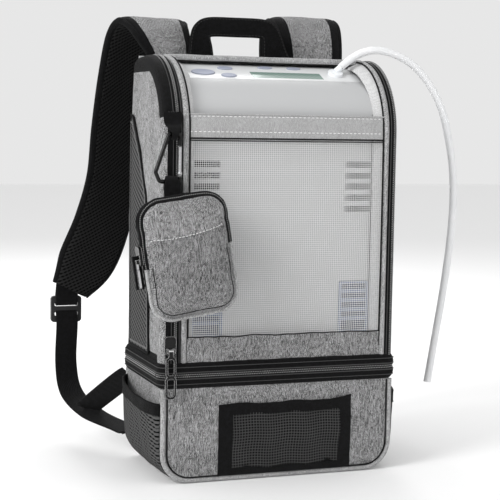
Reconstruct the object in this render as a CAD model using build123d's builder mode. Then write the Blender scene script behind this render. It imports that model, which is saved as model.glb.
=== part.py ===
from build123d import *
from math import atan2, cos, pi, radians, sin, tan
import os

# Portable oxygen concentrator in its carrying backpack, with an accessory pouch and
# its oxygen tube. Millimetres. X to the right, the front faces -Y, Z up. The origin
# is the centre of the flat base on which the backpack stands.

os.makedirs("parts", exist_ok=True)

# ---------------------------------------------------------------- driving dimensions
# Backpack
HALF_W = 125.0  # half of the bag's width
FRONT_Y = -67.0  # front face
BACK_Y = 67.0  # face against the wearer's back
BAG_TOP = 425.0
LOWER_TOP = 97.0  # top of the lower compartment, under the zip band
BAND_MID = 109.0  # parting line of the zip band
BAND_TOP = 121.0
GAP = 0.3  # clearance between pieces that move apart
FOLD_R = 75.0  # the front rolls over into the top on this radius
SKIN = 3.5  # flap and zip tape
WALL = 8.0  # padded side wall
BACK_WALL = 12.0
TOP_WALL = 5.5
SHELL_Z = BAND_TOP + GAP  # where the upper walls, the tape and the flap start
TOP_BAR_BACK = 12.0  # rear edge of the flap's top bar
TAPE_BACK = 16.0  # rear edge of the zip tape across the top

# Front flap
FLAP_X = 5.0  # the flap sits a little to the right of centre
FLAP_HALF = 110.5
RIM_W = 6.0  # piped rim around the flap
WINDOW_LOW = 146.0
HEM_LOW, HEM_TOP = 343.0, 366.5
TOP_BAR_FRONT = 2.0

# Lower compartment
LOWER_WALL = 6.0
LOWER_CORNER_R = 30.0  # bottom corners, seen from the front
ZIP_LIP = 1.2  # the zip band stands this far out of the bag
BOTTLE_Z = (30.0, 84.0)
BOTTLE_HALF = 48.0
BOTTLE_BULGE = 16.0
MESH_X = (-66.0, 78.0)  # mesh pocket on the front
MESH_Z = (6.0, 79.0)
MESH_BORDER = 14.0
MESH_DEPTH = 8.3

# Concentrator
DEV_X = 4.0
DEV_HALF = 103.0
DEV_FRONT, DEV_BACK = -56.0, 34.0
DEV_LOW, DEV_TOP = 126.0, 418.0
DEV_WALL = 2.5
DEV_SPLIT_Y = -11.0  # parting plane of its two shells
SHOULDER_Z = 366.0
PANEL_FRONT = (-25.0, 402.0)  # Y, Z of the control panel's front edge
PANEL_REAR = (10.0, DEV_TOP)
PANEL_W, PANEL_D = 196.0, 34.0
VENT_X, VENT_Z = 83.0, 295.0
GRILLE_X, GRILLE_Z = 80.0, 171.0
SLOTS, SLOT_PITCH = 5, 11.3
GRILLE_W, GRILLE_H = 34.0, 54.0
SCREW_SPAN = (180.0, 250.0)  # between the case screws, across and up
SCREW_Z = 265.0
FOOT_R = 8.0
BUTTON_RISE = 1.2
BUTTONS = {  # name: x and slope position on the panel, half width, half depth
    "power_button": (-72.0, -2.7, 12.5, 6.5),
    "flow_up_button": (-45.0, 9.0, 8.0, 3.6),
    "flow_down_button": (-46.0, -9.3, 8.0, 4.4),
    "alarm_button": (0.0, 12.6, 8.0, 2.8),
    "backlight_button": (32.0, 12.6, 7.5, 2.8),
}
LCD = (18.5, -5.5, 78.0, 15.0)  # x, slope position, width, depth

# Inside the concentrator: the middle of each part, then its size
BATTERY_AT, BATTERY_SIZE = (DEV_X, -10.0, 151.0), (188.0, 66.0, 38.0)
COMPRESSOR_AT, COMPRESSOR_SIZE = (DEV_X - 52, -14.0, 214.0), (64.0, 56.0, 58.0)
ROTOR_R, ROTOR_BORE_R, SHAFT_R = 16.5, 18.0, 4.0
SIEVE_X, SIEVE_Y, SIEVE_Z = (DEV_X + 38, DEV_X + 80), -12.0, 278.0
SIEVE_R, SIEVE_LENGTH, SIEVE_CAP = 18.0, 180.0, 8.0
MANIFOLD_AT, MANIFOLD_SIZE = (DEV_X + 58, -8.0, 382.0), (78.0, 30.0, 12.0)
TANK_AT, TANK_R, TANK_LENGTH = (DEV_X + 4, -12.0, 240.0), 11.0, 110.0
HOSE_R = 3.0
FAN_AT, FAN_SIZE = (DEV_X - 55, -34.0, 304.0), (72.0, 16.0, 72.0)
FAN_BLADES, FAN_HUB_R = 7, 12.0
INTAKE_AT, INTAKE_SIZE = (DEV_X - 55, 0.0, 304.0), (66.0, 20.0, 66.0)
BOARD_AT, BOARD_SIZE = (DEV_X, 25.0, 278.0), (180.0, 1.6, 190.0)

# Accessory pouch on its snap hook
POUCH_CENTRE = (-110.0, 231.0)
POUCH_SIZE = (90.0, 118.0, 25.0)
POUCH_TURN = 9.0  # degrees, as it hangs
POUCH_BACK_Y = -84.5
HOOK_Y = -75.5
HOOK_WIRE_R = 2.0
HOOK_TOP = (-117.0, 347.0)
HOOK_LOW = (-121.0, 301.0)

# Handle and straps
HANDLE_Y, HANDLE_T = 60.0, 4.0
PULL_RIM = 2.2  # width of a zip pull's frame
STRAP_T = 10.0
WEBBING_W, WEBBING_T = 25.0, 1.8
# Stations of each strap: x, y, z of its middle, the turn of its width in degrees, width
LEFT_STRAP = [
    (-76, 76, 404, 0, 42),
    (-78, 78, 434, 2, 48),
    (-85, 88, 456, 5, 64),
    (-90, 108, 464, 10, 78),
    (-99, 130, 447, 19, 77),
    (-110, 147, 402, 30, 70),
    (-115, 156, 350, 30, 68),
    (-117, 163, 295, 26, 68),
    (-125, 171, 245, 14, 68),
    (-141, 181, 198, 6, 66),
    (-158, 189, 166, 0, 42),
]
RIGHT_STRAP = [
    (86, 76, 404, 0, 68),
    (86, 78, 440, -1, 70),
    (85, 88, 464, -3, 74),
    (84, 108, 471, -5, 76),
    (86, 130, 456, -8, 74),
    (92, 147, 410, -14, 70),
    (100, 156, 352, -20, 68),
    (108, 163, 295, -20, 68),
    (118, 171, 245, -12, 68),
    (133, 181, 198, -6, 66),
    (150, 189, 166, 0, 42),
]
WEBBING_TO_BASE = [  # from the ladder lock down and forward to the low anchor
    (-162, 189, 126, 0, WEBBING_W),
    (-163, 188, 80, 0, WEBBING_W),
    (-160, 172, 50, -20, WEBBING_W),
    (-147, 130, 34, -35, WEBBING_W),
    (-124, 77, 27, -35, WEBBING_W),
]
WEBBING_TO_BAND = [  # the second leg of the V, to the anchor at band height
    (-149, 133, 43, -38, WEBBING_W),
    (-139, 105, 60, -40, WEBBING_W),
    (-127, 76, 80, -40, WEBBING_W),
]
LOCK_X = (-162.0, 154.0)  # ladder locks, left and right
LOCK_Y, LOCK_Z = 192.0, 143.0
LOCK_SIZE = (35.0, 30.0, 5.0)

# Oxygen tube
TUBE_OD, TUBE_ID = 8.0, 5.0
NOZZLE_X, NOZZLE_Y = 79.0, -5.0
TUBE_ROUTE = [
    (85.5, -7.1, 418.3),
    (99.0, -8.0, 430.0),
    (119.0, -9.0, 437.5),
    (137.0, -10.0, 436.5),
    (160.0, -11.0, 428.5),
    (177.0, -12.0, 415.5),
    (191.5, -13.0, 398.0),
    (204.0, -14.0, 374.0),
    (211.5, -15.0, 344.0),
    (217.0, -16.0, 314.0),
    (218.5, -17.0, 277.0),
    (215.0, -18.0, 230.0),
    (208.0, -19.0, 180.0),
    (199.0, -20.0, 129.0),
    (191.0, -20.0, 80.0),
]

# ---------------------------------------------------------------- derived values
FOLD_Y, FOLD_Z = FRONT_Y + FOLD_R, BAG_TOP - FOLD_R
FLAP_LEFT, FLAP_RIGHT = FLAP_X - FLAP_HALF, FLAP_X + FLAP_HALF
PANEL_TILT = atan2(PANEL_REAR[1] - PANEL_FRONT[1], PANEL_REAR[0] - PANEL_FRONT[0])
PANEL_NORMAL = (0, -sin(PANEL_TILT), cos(PANEL_TILT))
PANEL = Plane(
    origin=(DEV_X, (PANEL_FRONT[0] + PANEL_REAR[0]) / 2, (PANEL_FRONT[1] + PANEL_REAR[1]) / 2),
    x_dir=(1, 0, 0),
    z_dir=PANEL_NORMAL,
)


# ---------------------------------------------------------------- shared shapes
def save(piece, name):
    """Label a finished piece and write its STEP file."""
    piece.part.label = name
    export_step(piece.part, f"parts/{name}.step")


def span_box(x, y, z, mode=Mode.ADD):
    """A box between the given pairs of coordinates, added to the open part."""
    with Locations(((x[0] + x[1]) / 2, (y[0] + y[1]) / 2, (z[0] + z[1]) / 2)):
        Box(x[1] - x[0], y[1] - y[0], z[1] - z[0], mode=mode)


def bag_side_line(inset, back):
    """Front and top of the upper bag seen from the side, closed down to SHELL_Z."""
    front, top = FRONT_Y + inset, BAG_TOP - inset
    Line((back, SHELL_Z), (front, SHELL_Z))
    Line((front, SHELL_Z), (front, FOLD_Z))
    CenterArc((FOLD_Y, FOLD_Z), FOLD_R - inset, 180, -90)
    Line((FOLD_Y, top), (back, top))
    Line((back, top), (back, SHELL_Z))


def skin_part(x, back, inset=(0.0, SKIN)):
    """The curved outer layer of the bag's front and top between two x positions."""
    middle = Plane.YZ.offset((x[0] + x[1]) / 2)
    with BuildPart() as layer:
        for depth, mode in zip(inset, (Mode.ADD, Mode.SUBTRACT)):
            with BuildSketch(middle):
                with BuildLine():
                    bag_side_line(depth, back)
                make_face()
            extrude(amount=(x[1] - x[0]) / 2, both=True, mode=mode)
    return layer.part


def device_block(inset):
    """The concentrator's outer form, shrunk by inset on every side."""
    with BuildPart() as block:
        with BuildSketch(Plane.YZ.offset(DEV_X)):
            with BuildLine():
                Polyline(
                    (DEV_FRONT, SHOULDER_Z), (DEV_FRONT, DEV_LOW), (DEV_BACK, DEV_LOW),
                    (DEV_BACK, DEV_TOP), PANEL_REAR, PANEL_FRONT,
                )
                ThreePointArc(PANEL_FRONT, (-45.5, 388), (DEV_FRONT, SHOULDER_Z))
            make_face()
            if inset:
                offset(amount=-inset, kind=Kind.INTERSECTION)
        extrude(amount=DEV_HALF - inset, both=True)
        fillet(block.edges().filter_by(Axis.Z).group_by(Axis.Y)[0], 10 - inset)
        fillet(block.edges().filter_by(Axis.Z).group_by(Axis.Y)[-1], 8 - inset)
    return block.part


def ribbon(line, thickness):
    """A flat strap lofted through its stations."""
    points = [Vector(*station[:3]) for station in line]
    with BuildPart() as strap:
        for i, point in enumerate(points):
            along = (points[min(i + 1, len(points) - 1)] - points[max(i - 1, 0)]).normalized()
            turn = radians(line[i][3])
            across = Vector(cos(turn), sin(turn), 0)
            across = (across - along * across.dot(along)).normalized()
            with BuildSketch(Plane(origin=point, x_dir=across, z_dir=along)):
                Rectangle(line[i][4], thickness)
        loft(ruled=True)
    return strap.part


def mirrored(line):
    """The same stations on the right side, under the right ladder lock."""
    return [(sum(LOCK_X) - x, y, z, -turn, width) for x, y, z, turn, width in line]


def zip_slider(slider_plane, pull_length, lobes):
    """A slider with two lugs and a pin, and its pull, a frame open in the middle of each lobe.

    The plane's origin is the middle of the slider's back, Z points away from the bag
    and Y towards the slider's nose. Both parts are returned.
    """
    with BuildPart(slider_plane) as slider:
        with BuildSketch(slider_plane):
            RectangleRounded(12, 18, 3.5)
        extrude(amount=3.4)
        with Locations((-3.4, -5, 4.5), (3.4, -5, 4.5)):
            Box(1.6, 4, 4.4)
        with Locations(Location((0, -5, 5.3), (0, 90, 0))):
            Cylinder(0.9, 8)
    stem = pull_length * (lobes[0][0] + 0.04)
    with BuildPart(slider_plane) as pull:
        with BuildSketch(slider_plane.offset(4.3)):
            with Locations((0, -5 - stem / 2)):
                RectangleRounded(4.6, stem + 3.2, 1.5)
            for start, end, width in lobes:
                with Locations((0, -5 - pull_length * (start + end) / 2)):
                    RectangleRounded(width, pull_length * (end - start), 0.42 * width)
            for start, end, width in lobes:
                hole_w, hole_h = width - 2 * PULL_RIM, pull_length * (end - start) - 2.4 * PULL_RIM
                with Locations((0, -5 - pull_length * (start + end) / 2)):
                    RectangleRounded(hole_w, hole_h, 0.4 * hole_w, mode=Mode.SUBTRACT)
        extrude(amount=2.0)
        with Locations(Location((0, -5, 5.3), (0, 90, 0))):
            Cylinder(0.96, 20, mode=Mode.SUBTRACT)
    return slider, pull


# ---------------------------------------------------------------- lower compartment
with BuildPart() as lower_shell:
    for inset, mode in ((0.0, Mode.ADD), (LOWER_WALL, Mode.SUBTRACT)):
        corner = LOWER_CORNER_R - inset
        top = LOWER_TOP + 2 * inset
        with BuildSketch(Plane.XZ):
            with Locations((0, (inset + top) / 2)):
                box_face = Rectangle(2 * (HALF_W - inset), top - inset)
            fillet(box_face.vertices().group_by(Axis.Y)[0], corner)
        extrude(amount=BACK_Y - inset, both=True, mode=mode)
        if mode == Mode.ADD:
            fillet(lower_shell.edges().filter_by(Axis.Z).group_by(Axis.Y)[0], 9)
            fillet(lower_shell.edges().filter_by(Axis.Z).group_by(Axis.Y)[-1], 9)
save(lower_shell, "lower_shell")

with BuildPart() as base_board:
    with BuildSketch(Plane.XY.offset(LOWER_WALL)):
        RectangleRounded(184, 112, 12)
    extrude(amount=3)
save(base_board, "base_board")


def zip_band(low, high):
    """One half of the zip band, a ring round the bag with a rounded lip."""
    out_x, out_y = HALF_W + ZIP_LIP, FRONT_Y - ZIP_LIP
    with BuildPart() as band:
        with BuildSketch(Plane.XY.offset(low)):
            with Locations((0, (out_y + BACK_Y) / 2)):
                RectangleRounded(2 * out_x, BACK_Y - out_y, 10)
            with Locations((0, -0.5)):
                Rectangle(238, 121, mode=Mode.SUBTRACT)
        extrude(amount=high - low)
        for end in (-1, 0):
            rims = band.edges().filter_by(GeomType.LINE).group_by(Axis.Z)[end]
            fillet(rims.group_by(Axis.Y)[0], 1.5)
    return band


lower_zip_tape = zip_band(LOWER_TOP, BAND_MID)
save(lower_zip_tape, "lower_zip_tape")
upper_zip_tape = zip_band(BAND_MID + GAP, BAND_TOP)
save(upper_zip_tape, "upper_zip_tape")


def bottle_pocket(side):
    """A stretch mesh pocket on one side, deeper at its hem than at its foot."""
    wall_x = HALF_W + 0.2
    with BuildPart() as pocket:
        for skin, mode in ((0.0, Mode.ADD), (2.2, Mode.SUBTRACT)):
            low, high = BOTTLE_Z[0] + skin, BOTTLE_Z[1] + skin
            for z, bulge in ((low, BOTTLE_BULGE * 0.55), (high, BOTTLE_BULGE)):
                half, reach = BOTTLE_HALF - skin, wall_x + bulge - skin
                with BuildSketch(Plane.XY.offset(z)):
                    with BuildLine():
                        ThreePointArc(
                            (side * wall_x, -half), (side * reach, 0), (side * wall_x, half)
                        )
                        Line((side * wall_x, half), (side * wall_x, -half))
                    make_face()
            loft(ruled=True, mode=mode)
    return pocket


side_pocket_left = bottle_pocket(-1)
save(side_pocket_left, "side_pocket_left")
side_pocket_right = bottle_pocket(1)
save(side_pocket_right, "side_pocket_right")

MESH_FRONT = FRONT_Y - MESH_DEPTH
MESH_WINDOW_X = (MESH_X[0] + MESH_BORDER, MESH_X[1] - MESH_BORDER)
MESH_WINDOW_Z = (MESH_Z[0] + 7, MESH_Z[1] - 11)
with BuildPart() as front_pocket_frame:
    span_box(MESH_X, (MESH_FRONT, FRONT_Y - 0.2), MESH_Z)
    fillet(front_pocket_frame.edges().filter_by(Axis.Z).group_by(Axis.Y)[0], 4)
    span_box(
        (MESH_X[0] + 2.5, MESH_X[1] - 2.5),
        (MESH_FRONT + 1.5, FRONT_Y),
        (MESH_Z[0] + 2.5, MESH_Z[1] + 1),
        mode=Mode.SUBTRACT,
    )
    span_box(MESH_WINDOW_X, (MESH_FRONT - 1, FRONT_Y), MESH_WINDOW_Z, mode=Mode.SUBTRACT)
save(front_pocket_frame, "front_pocket_frame")

with BuildPart() as front_pocket_mesh:
    span_box(MESH_WINDOW_X, (MESH_FRONT + 0.3, MESH_FRONT + 1.3), MESH_WINDOW_Z)
save(front_pocket_mesh, "front_pocket_mesh")

# ---------------------------------------------------------------- upper compartment
SIDE_MESH = [(48, 365), (40, 363), (8, 328), (-17, 285), (-23, 200), (-23, 131), (48, 131)]
with BuildPart() as upper_shell:
    inner_face = FRONT_Y + SKIN
    with BuildSketch(Plane.YZ):
        with BuildLine():
            Polyline(
                (FOLD_Y, BAG_TOP - SKIN), (TAPE_BACK + GAP, BAG_TOP - SKIN),
                (TAPE_BACK + GAP, BAG_TOP), (BACK_Y, BAG_TOP), (BACK_Y, SHELL_Z),
                (inner_face, SHELL_Z), (inner_face, FOLD_Z),
            )
            CenterArc((FOLD_Y, FOLD_Z), FOLD_R - SKIN, 180, -90)
        make_face()
    extrude(amount=HALF_W, both=True)
    fillet(upper_shell.edges().filter_by(Axis.Z).group_by(Axis.Y)[-1], 9)
    inside_x = (-HALF_W + WALL, HALF_W - WALL)
    span_box(inside_x, (-100, TAPE_BACK + GAP), (SHELL_Z - 1, 500), mode=Mode.SUBTRACT)
    span_box(
        inside_x, (TAPE_BACK, BACK_Y - BACK_WALL), (SHELL_Z - 1, BAG_TOP - TOP_WALL),
        mode=Mode.SUBTRACT,
    )
    with BuildSketch(Plane.YZ):
        with BuildLine():
            Polyline(*SIDE_MESH, close=True)
        make_face()
    extrude(amount=200, both=True, mode=Mode.SUBTRACT)
    span_box((-118.7, 118.7), (-60.7, 59.7), (BAND_MID + GAP, SHELL_Z))
save(upper_shell, "upper_shell")

with BuildPart() as side_vent_meshes:
    for side in (-1, 1):
        with BuildSketch(Plane.YZ.offset(side * (HALF_W - 2.5))):
            with BuildLine():
                Polyline(*SIDE_MESH, close=True)
            make_face()
        extrude(amount=side * 2.0)
save(side_vent_meshes, "side_vent_meshes")

with BuildPart() as frame_sheet:
    with BuildSketch(Plane.XZ.offset(-(BACK_Y - BACK_WALL - 0.3))):
        with Locations((0, 264)):
            RectangleRounded(222, 278, 12)
    extrude(amount=2)
save(frame_sheet, "frame_sheet")

with BuildPart() as back_pad:
    with BuildSketch(Plane.XZ.offset(-BACK_Y)):
        with Locations((0, 258)):
            RectangleRounded(208, 256, 22)
    extrude(amount=-9)
    fillet(back_pad.faces().sort_by(Axis.Y)[-1].edges(), 4)
    with GridLocations(68, 0, 2, 1):
        with Locations((0, BACK_Y + 9, 258)):
            Box(9, 8, 216, mode=Mode.SUBTRACT)
save(back_pad, "back_pad")

with BuildPart() as main_zip_tape:
    add(skin_part((-HALF_W, FLAP_LEFT - GAP), TAPE_BACK))
    add(skin_part((FLAP_RIGHT + GAP, HALF_W), TAPE_BACK))
    span_box(
        (FLAP_LEFT - 1, FLAP_RIGHT + 1), (TOP_BAR_BACK + GAP, TAPE_BACK),
        (BAG_TOP - SKIN, BAG_TOP),
    )
    span_box((-200, 200), (-20, 40), (SHELL_Z - 1, 300), mode=Mode.SUBTRACT)
save(main_zip_tape, "main_zip_tape")

# ---------------------------------------------------------------- front flap
FLAP_SPAN = (FLAP_LEFT, FLAP_RIGHT)
WINDOW_SPAN = (FLAP_LEFT + RIM_W, FLAP_RIGHT - RIM_W)
with BuildPart() as flap_frame:
    add(skin_part(FLAP_SPAN, TOP_BAR_BACK))
    span_box(WINDOW_SPAN, (-90, TOP_BAR_FRONT), (WINDOW_LOW, 500), mode=Mode.SUBTRACT)
save(flap_frame, "flap_frame")

with BuildPart() as flap_mesh:
    add(skin_part(WINDOW_SPAN, TOP_BAR_BACK, inset=(1.2, 2.2)))
    span_box((-200, 200), (-90, 90), (HEM_LOW, 500), mode=Mode.SUBTRACT)
    span_box((-200, 200), (-90, 90), (0, WINDOW_LOW), mode=Mode.SUBTRACT)
save(flap_mesh, "flap_mesh")

with BuildPart() as flap_hem:
    add(skin_part(WINDOW_SPAN, TOP_BAR_BACK, inset=(0.6, 2.9)))
    span_box((-200, 200), (-90, 90), (HEM_TOP, 500), mode=Mode.SUBTRACT)
    span_box((-200, 200), (-90, 90), (0, HEM_LOW), mode=Mode.SUBTRACT)
save(flap_hem, "flap_hem")

# ---------------------------------------------------------------- zip sliders
LONG_LOBES = ((0.12, 0.56, 10.5), (0.52, 1.0, 11.5))
SHORT_LOBES = ((0.25, 1.0, 7.0),)
main_slider_plane = Plane(
    origin=(-117.5, FRONT_Y - GAP, 140), x_dir=(1, 0, 0), z_dir=(0, -1, 0)
)
main_zip_slider, main_zip_pull = zip_slider(main_slider_plane, 48, LONG_LOBES)
save(main_zip_slider, "main_zip_slider")
save(main_zip_pull, "main_zip_pull")

lower_slider_plane = Plane(
    origin=(HALF_W + ZIP_LIP + GAP, 34, BAND_MID), x_dir=(0, 0, 1), z_dir=(1, 0, 0)
)
lower_zip_slider, lower_zip_pull = zip_slider(lower_slider_plane, 20, SHORT_LOBES)
save(lower_zip_slider, "lower_zip_slider")
save(lower_zip_pull, "lower_zip_pull")

# ---------------------------------------------------------------- pouch and its hook
with BuildPart() as pouch_tab:
    span_box((-126, -106), (FRONT_Y - 2.2, FRONT_Y - 0.2), (354, 377))
    with BuildSketch(Plane.YZ.offset(HOOK_TOP[0])):
        with Locations((HOOK_Y, HOOK_TOP[1])):
            Circle(5.2)
            Circle(3.6, mode=Mode.SUBTRACT)
        with Locations((HOOK_Y + 3.5, 355)):
            Rectangle(7, 8)
        with Locations((HOOK_Y, HOOK_TOP[1])):
            Circle(3.6, mode=Mode.SUBTRACT)
    extrude(amount=2.5, both=True)
save(pouch_tab, "pouch_tab")

HOOK_NOSE = (-112.0, 335.0)
HOOK_HEEL = (-111.5, 302.0)
with BuildPart() as carabiner:
    with BuildLine(Plane.XZ.offset(-HOOK_Y)) as hook_line:
        FilletPolyline(
            HOOK_NOSE, (-111.0, 347.0), (-123.0, 347.0), (-136.0, 310.0), (-132.0, 301.0),
            (HOOK_HEEL[0], 301.0), (HOOK_HEEL[0], 306.0), radius=3.2,
        )
    with BuildSketch(Plane(origin=hook_line.line @ 0, z_dir=hook_line.line % 0)):
        Circle(HOOK_WIRE_R)
    sweep()
save(carabiner, "carabiner")

with BuildPart() as carabiner_gate:
    with BuildSketch(Plane.XY.offset(HOOK_HEEL[1] + 4.6)):
        with Locations((HOOK_HEEL[0], HOOK_Y)):
            Circle(1.5)
    extrude(amount=HOOK_NOSE[1] - HOOK_HEEL[1] - 5.2)
    with Locations((HOOK_HEEL[0], HOOK_Y, HOOK_HEEL[1] + 6.8)):
        Sphere(2.3)
save(carabiner_gate, "carabiner_gate")

turn = radians(POUCH_TURN)
pouch_plane = Plane(
    origin=(POUCH_CENTRE[0], POUCH_BACK_Y, POUCH_CENTRE[1]),
    x_dir=(cos(turn), 0, sin(turn)),
    z_dir=(0, -1, 0),
)
with BuildPart() as pouch_body:
    with BuildSketch(pouch_plane):
        RectangleRounded(POUCH_SIZE[0], POUCH_SIZE[1], 22)
    extrude(amount=POUCH_SIZE[2])
    fillet(pouch_body.faces().sort_by(SortBy.AREA)[-2:].edges(), 8)
save(pouch_body, "pouch_body")

with BuildPart() as pouch_loop:
    with BuildSketch(Plane.YZ.offset(HOOK_LOW[0])):
        with Locations((HOOK_Y, HOOK_LOW[1])):
            Circle(5.2)
        with BuildLine():
            Polyline(
                (HOOK_Y - 3, 297.5), (HOOK_Y + 2.2, 297.5), (POUCH_BACK_Y + 3.2, 281.5),
                (POUCH_BACK_Y + 3.2, 262), (POUCH_BACK_Y + 0.1, 262), (POUCH_BACK_Y + 0.1, 283),
                close=True,
            )
        make_face()
        with Locations((HOOK_Y, HOOK_LOW[1])):
            Circle(3.6, mode=Mode.SUBTRACT)
    extrude(amount=5, both=True)
save(pouch_loop, "pouch_loop")

pouch_side = pouch_plane.from_local_coords((-POUCH_SIZE[0] / 2 - GAP, 8, POUCH_SIZE[2] * 0.55))
pouch_pull_plane = Plane(origin=pouch_side, x_dir=(0, -1, 0), z_dir=-pouch_plane.x_dir)
pouch_zip_slider, pouch_zip_pull = zip_slider(pouch_pull_plane, 26, SHORT_LOBES)
save(pouch_zip_slider, "pouch_zip_slider")
save(pouch_zip_pull, "pouch_zip_pull")

# ---------------------------------------------------------------- handle and straps
HANDLE_OUTLINE = [
    (-62, 426.5), (-60, 455), (-54, 465), (-45, 470), (27, 470), (36, 466),
    (43, 458), (55, 426.5), (21, 426.5), (22, 449), (-38, 449), (-33, 426.5),
]
with BuildPart() as carry_handle:
    with BuildSketch(Plane.XZ.offset(-HANDLE_Y)):
        with BuildLine():
            Polyline(*HANDLE_OUTLINE, close=True)
        make_face()
    extrude(amount=HANDLE_T / 2, both=True)
save(carry_handle, "carry_handle")

for side_name, strap_line in (("left", LEFT_STRAP), ("right", RIGHT_STRAP)):
    with BuildPart() as shoulder_strap:
        add(ribbon(strap_line, STRAP_T))
    save(shoulder_strap, f"shoulder_strap_{side_name}")

with BuildPart() as strap_webbing:
    for line in (WEBBING_TO_BASE, WEBBING_TO_BAND):
        add(ribbon(line, WEBBING_T))
        add(ribbon(mirrored(line), WEBBING_T))
save(strap_webbing, "strap_webbing")

with BuildPart() as ladder_locks:
    with BuildSketch(Plane.XZ.offset(-LOCK_Y)):
        for lock_x in LOCK_X:
            with Locations((lock_x, LOCK_Z)):
                RectangleRounded(LOCK_SIZE[0], LOCK_SIZE[1], 4)
                with GridLocations(0, 11, 1, 2):
                    RectangleRounded(WEBBING_W + 2, 5, 2, mode=Mode.SUBTRACT)
    extrude(amount=-LOCK_SIZE[2])
save(ladder_locks, "ladder_locks")

# ---------------------------------------------------------------- concentrator case
housing_outer, housing_inner = device_block(0), device_block(DEV_WALL)
SCREW_POINTS = [
    (DEV_X + across * SCREW_SPAN[0] / 2, DEV_BACK, SCREW_Z + up * SCREW_SPAN[1] / 2)
    for across in (-1, 1)
    for up in (-1, 1)
]


def device_shell(front):
    """The front or the rear half of the concentrator's case."""
    low_y, high_y = (-200, DEV_SPLIT_Y) if front else (DEV_SPLIT_Y, 200)
    with BuildPart() as shell:
        add(housing_outer)
        add(housing_inner, mode=Mode.SUBTRACT)
        with Locations(PANEL):
            Box(PANEL_W, PANEL_D, 12, mode=Mode.SUBTRACT)
        span_box((-200, 200), (low_y, high_y), (0, 600), mode=Mode.INTERSECT)
        if front:
            for x in (DEV_X - VENT_X, DEV_X + VENT_X):
                for slot in range(SLOTS):
                    z = VENT_Z + (slot - (SLOTS - 1) / 2) * SLOT_PITCH
                    with Locations((x, DEV_FRONT, z)):
                        Box(31, 12, 6.5, mode=Mode.SUBTRACT)
            for x in (DEV_X - GRILLE_X, DEV_X + GRILLE_X):
                with Locations((x, DEV_FRONT, GRILLE_Z)):
                    Box(GRILLE_W, 12, GRILLE_H, mode=Mode.SUBTRACT)
        else:
            with Locations(*SCREW_POINTS):
                Cylinder(1.6, 20, rotation=(90, 0, 0), mode=Mode.SUBTRACT)
    return shell


device_front_shell = device_shell(front=True)
save(device_front_shell, "device_front_shell")
device_rear_shell = device_shell(front=False)
save(device_rear_shell, "device_rear_shell")

with BuildPart() as exhaust_grilles:
    for x in (DEV_X - GRILLE_X, DEV_X + GRILLE_X):
        span_box(
            (x - GRILLE_W / 2, x + GRILLE_W / 2), (DEV_FRONT - 0.8, DEV_FRONT + DEV_WALL),
            (GRILLE_Z - GRILLE_H / 2, GRILLE_Z + GRILLE_H / 2),
        )
        for slot in range(SLOTS):
            with Locations((x, DEV_FRONT, GRILLE_Z - 19 + slot * 9.2)):
                Box(25, 12, 5, mode=Mode.SUBTRACT)
save(exhaust_grilles, "exhaust_grilles")

with BuildPart() as case_screws:
    with Locations(*SCREW_POINTS):
        Cylinder(1.5, 8, rotation=(90, 0, 0), align=(Align.CENTER, Align.CENTER, Align.MIN))
        Cylinder(3.2, 2, rotation=(90, 0, 0), align=(Align.CENTER, Align.CENTER, Align.MAX))
save(case_screws, "case_screws")

with BuildPart() as rubber_feet:
    with Locations((DEV_X, (DEV_FRONT + DEV_BACK) / 2, SHELL_Z)):
        with GridLocations(160, 56, 2, 2):
            Cylinder(FOOT_R, DEV_LOW - SHELL_Z, align=(Align.CENTER, Align.CENTER, Align.MIN))
save(rubber_feet, "rubber_feet")

# ---------------------------------------------------------------- control panel
with BuildPart() as control_panel:
    with BuildSketch(PANEL):
        Rectangle(PANEL_W, PANEL_D)
        for x, v, half_w, half_d in BUTTONS.values():
            with Locations((x, v)):
                Ellipse(half_w + GAP, half_d + GAP, mode=Mode.SUBTRACT)
        with Locations((LCD[0], LCD[1])):
            Rectangle(LCD[2], LCD[3], mode=Mode.SUBTRACT)
        with Locations((NOZZLE_X - DEV_X, 0)):
            Circle(4.0, mode=Mode.SUBTRACT)
    extrude(amount=-DEV_WALL)
save(control_panel, "control_panel")

for name, (x, v, half_w, half_d) in BUTTONS.items():
    with BuildPart() as button:
        with BuildSketch(PANEL.offset(-3.9)):
            with Locations((x, v)):
                Ellipse(half_w + 1.2, half_d + 1.2)
        extrude(amount=1)
        with BuildSketch(PANEL.offset(-3)):
            with Locations((x, v)):
                Ellipse(half_w, half_d)
        extrude(amount=3 + BUTTON_RISE)
        fillet(button.faces().sort_by(Axis(PANEL.origin, PANEL.z_dir))[-1].edges(), 0.6)
    save(button, name)

with BuildPart() as lcd_module:
    with BuildSketch(PANEL.offset(-7)):
        with Locations((LCD[0], LCD[1])):
            Rectangle(LCD[2], LCD[3])
    extrude(amount=7)
save(lcd_module, "lcd_module")

with BuildPart() as control_pcb:
    with BuildSketch(PANEL.offset(-9.6)):
        with Locations((-14, 0)):
            Rectangle(146, 29)
    extrude(amount=1.6)
    with BuildSketch(PANEL.offset(-8)):
        for x, v, _, _ in BUTTONS.values():
            with Locations((x, v)):
                Rectangle(4, 3)
    extrude(amount=3)
save(control_pcb, "control_pcb")

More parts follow.
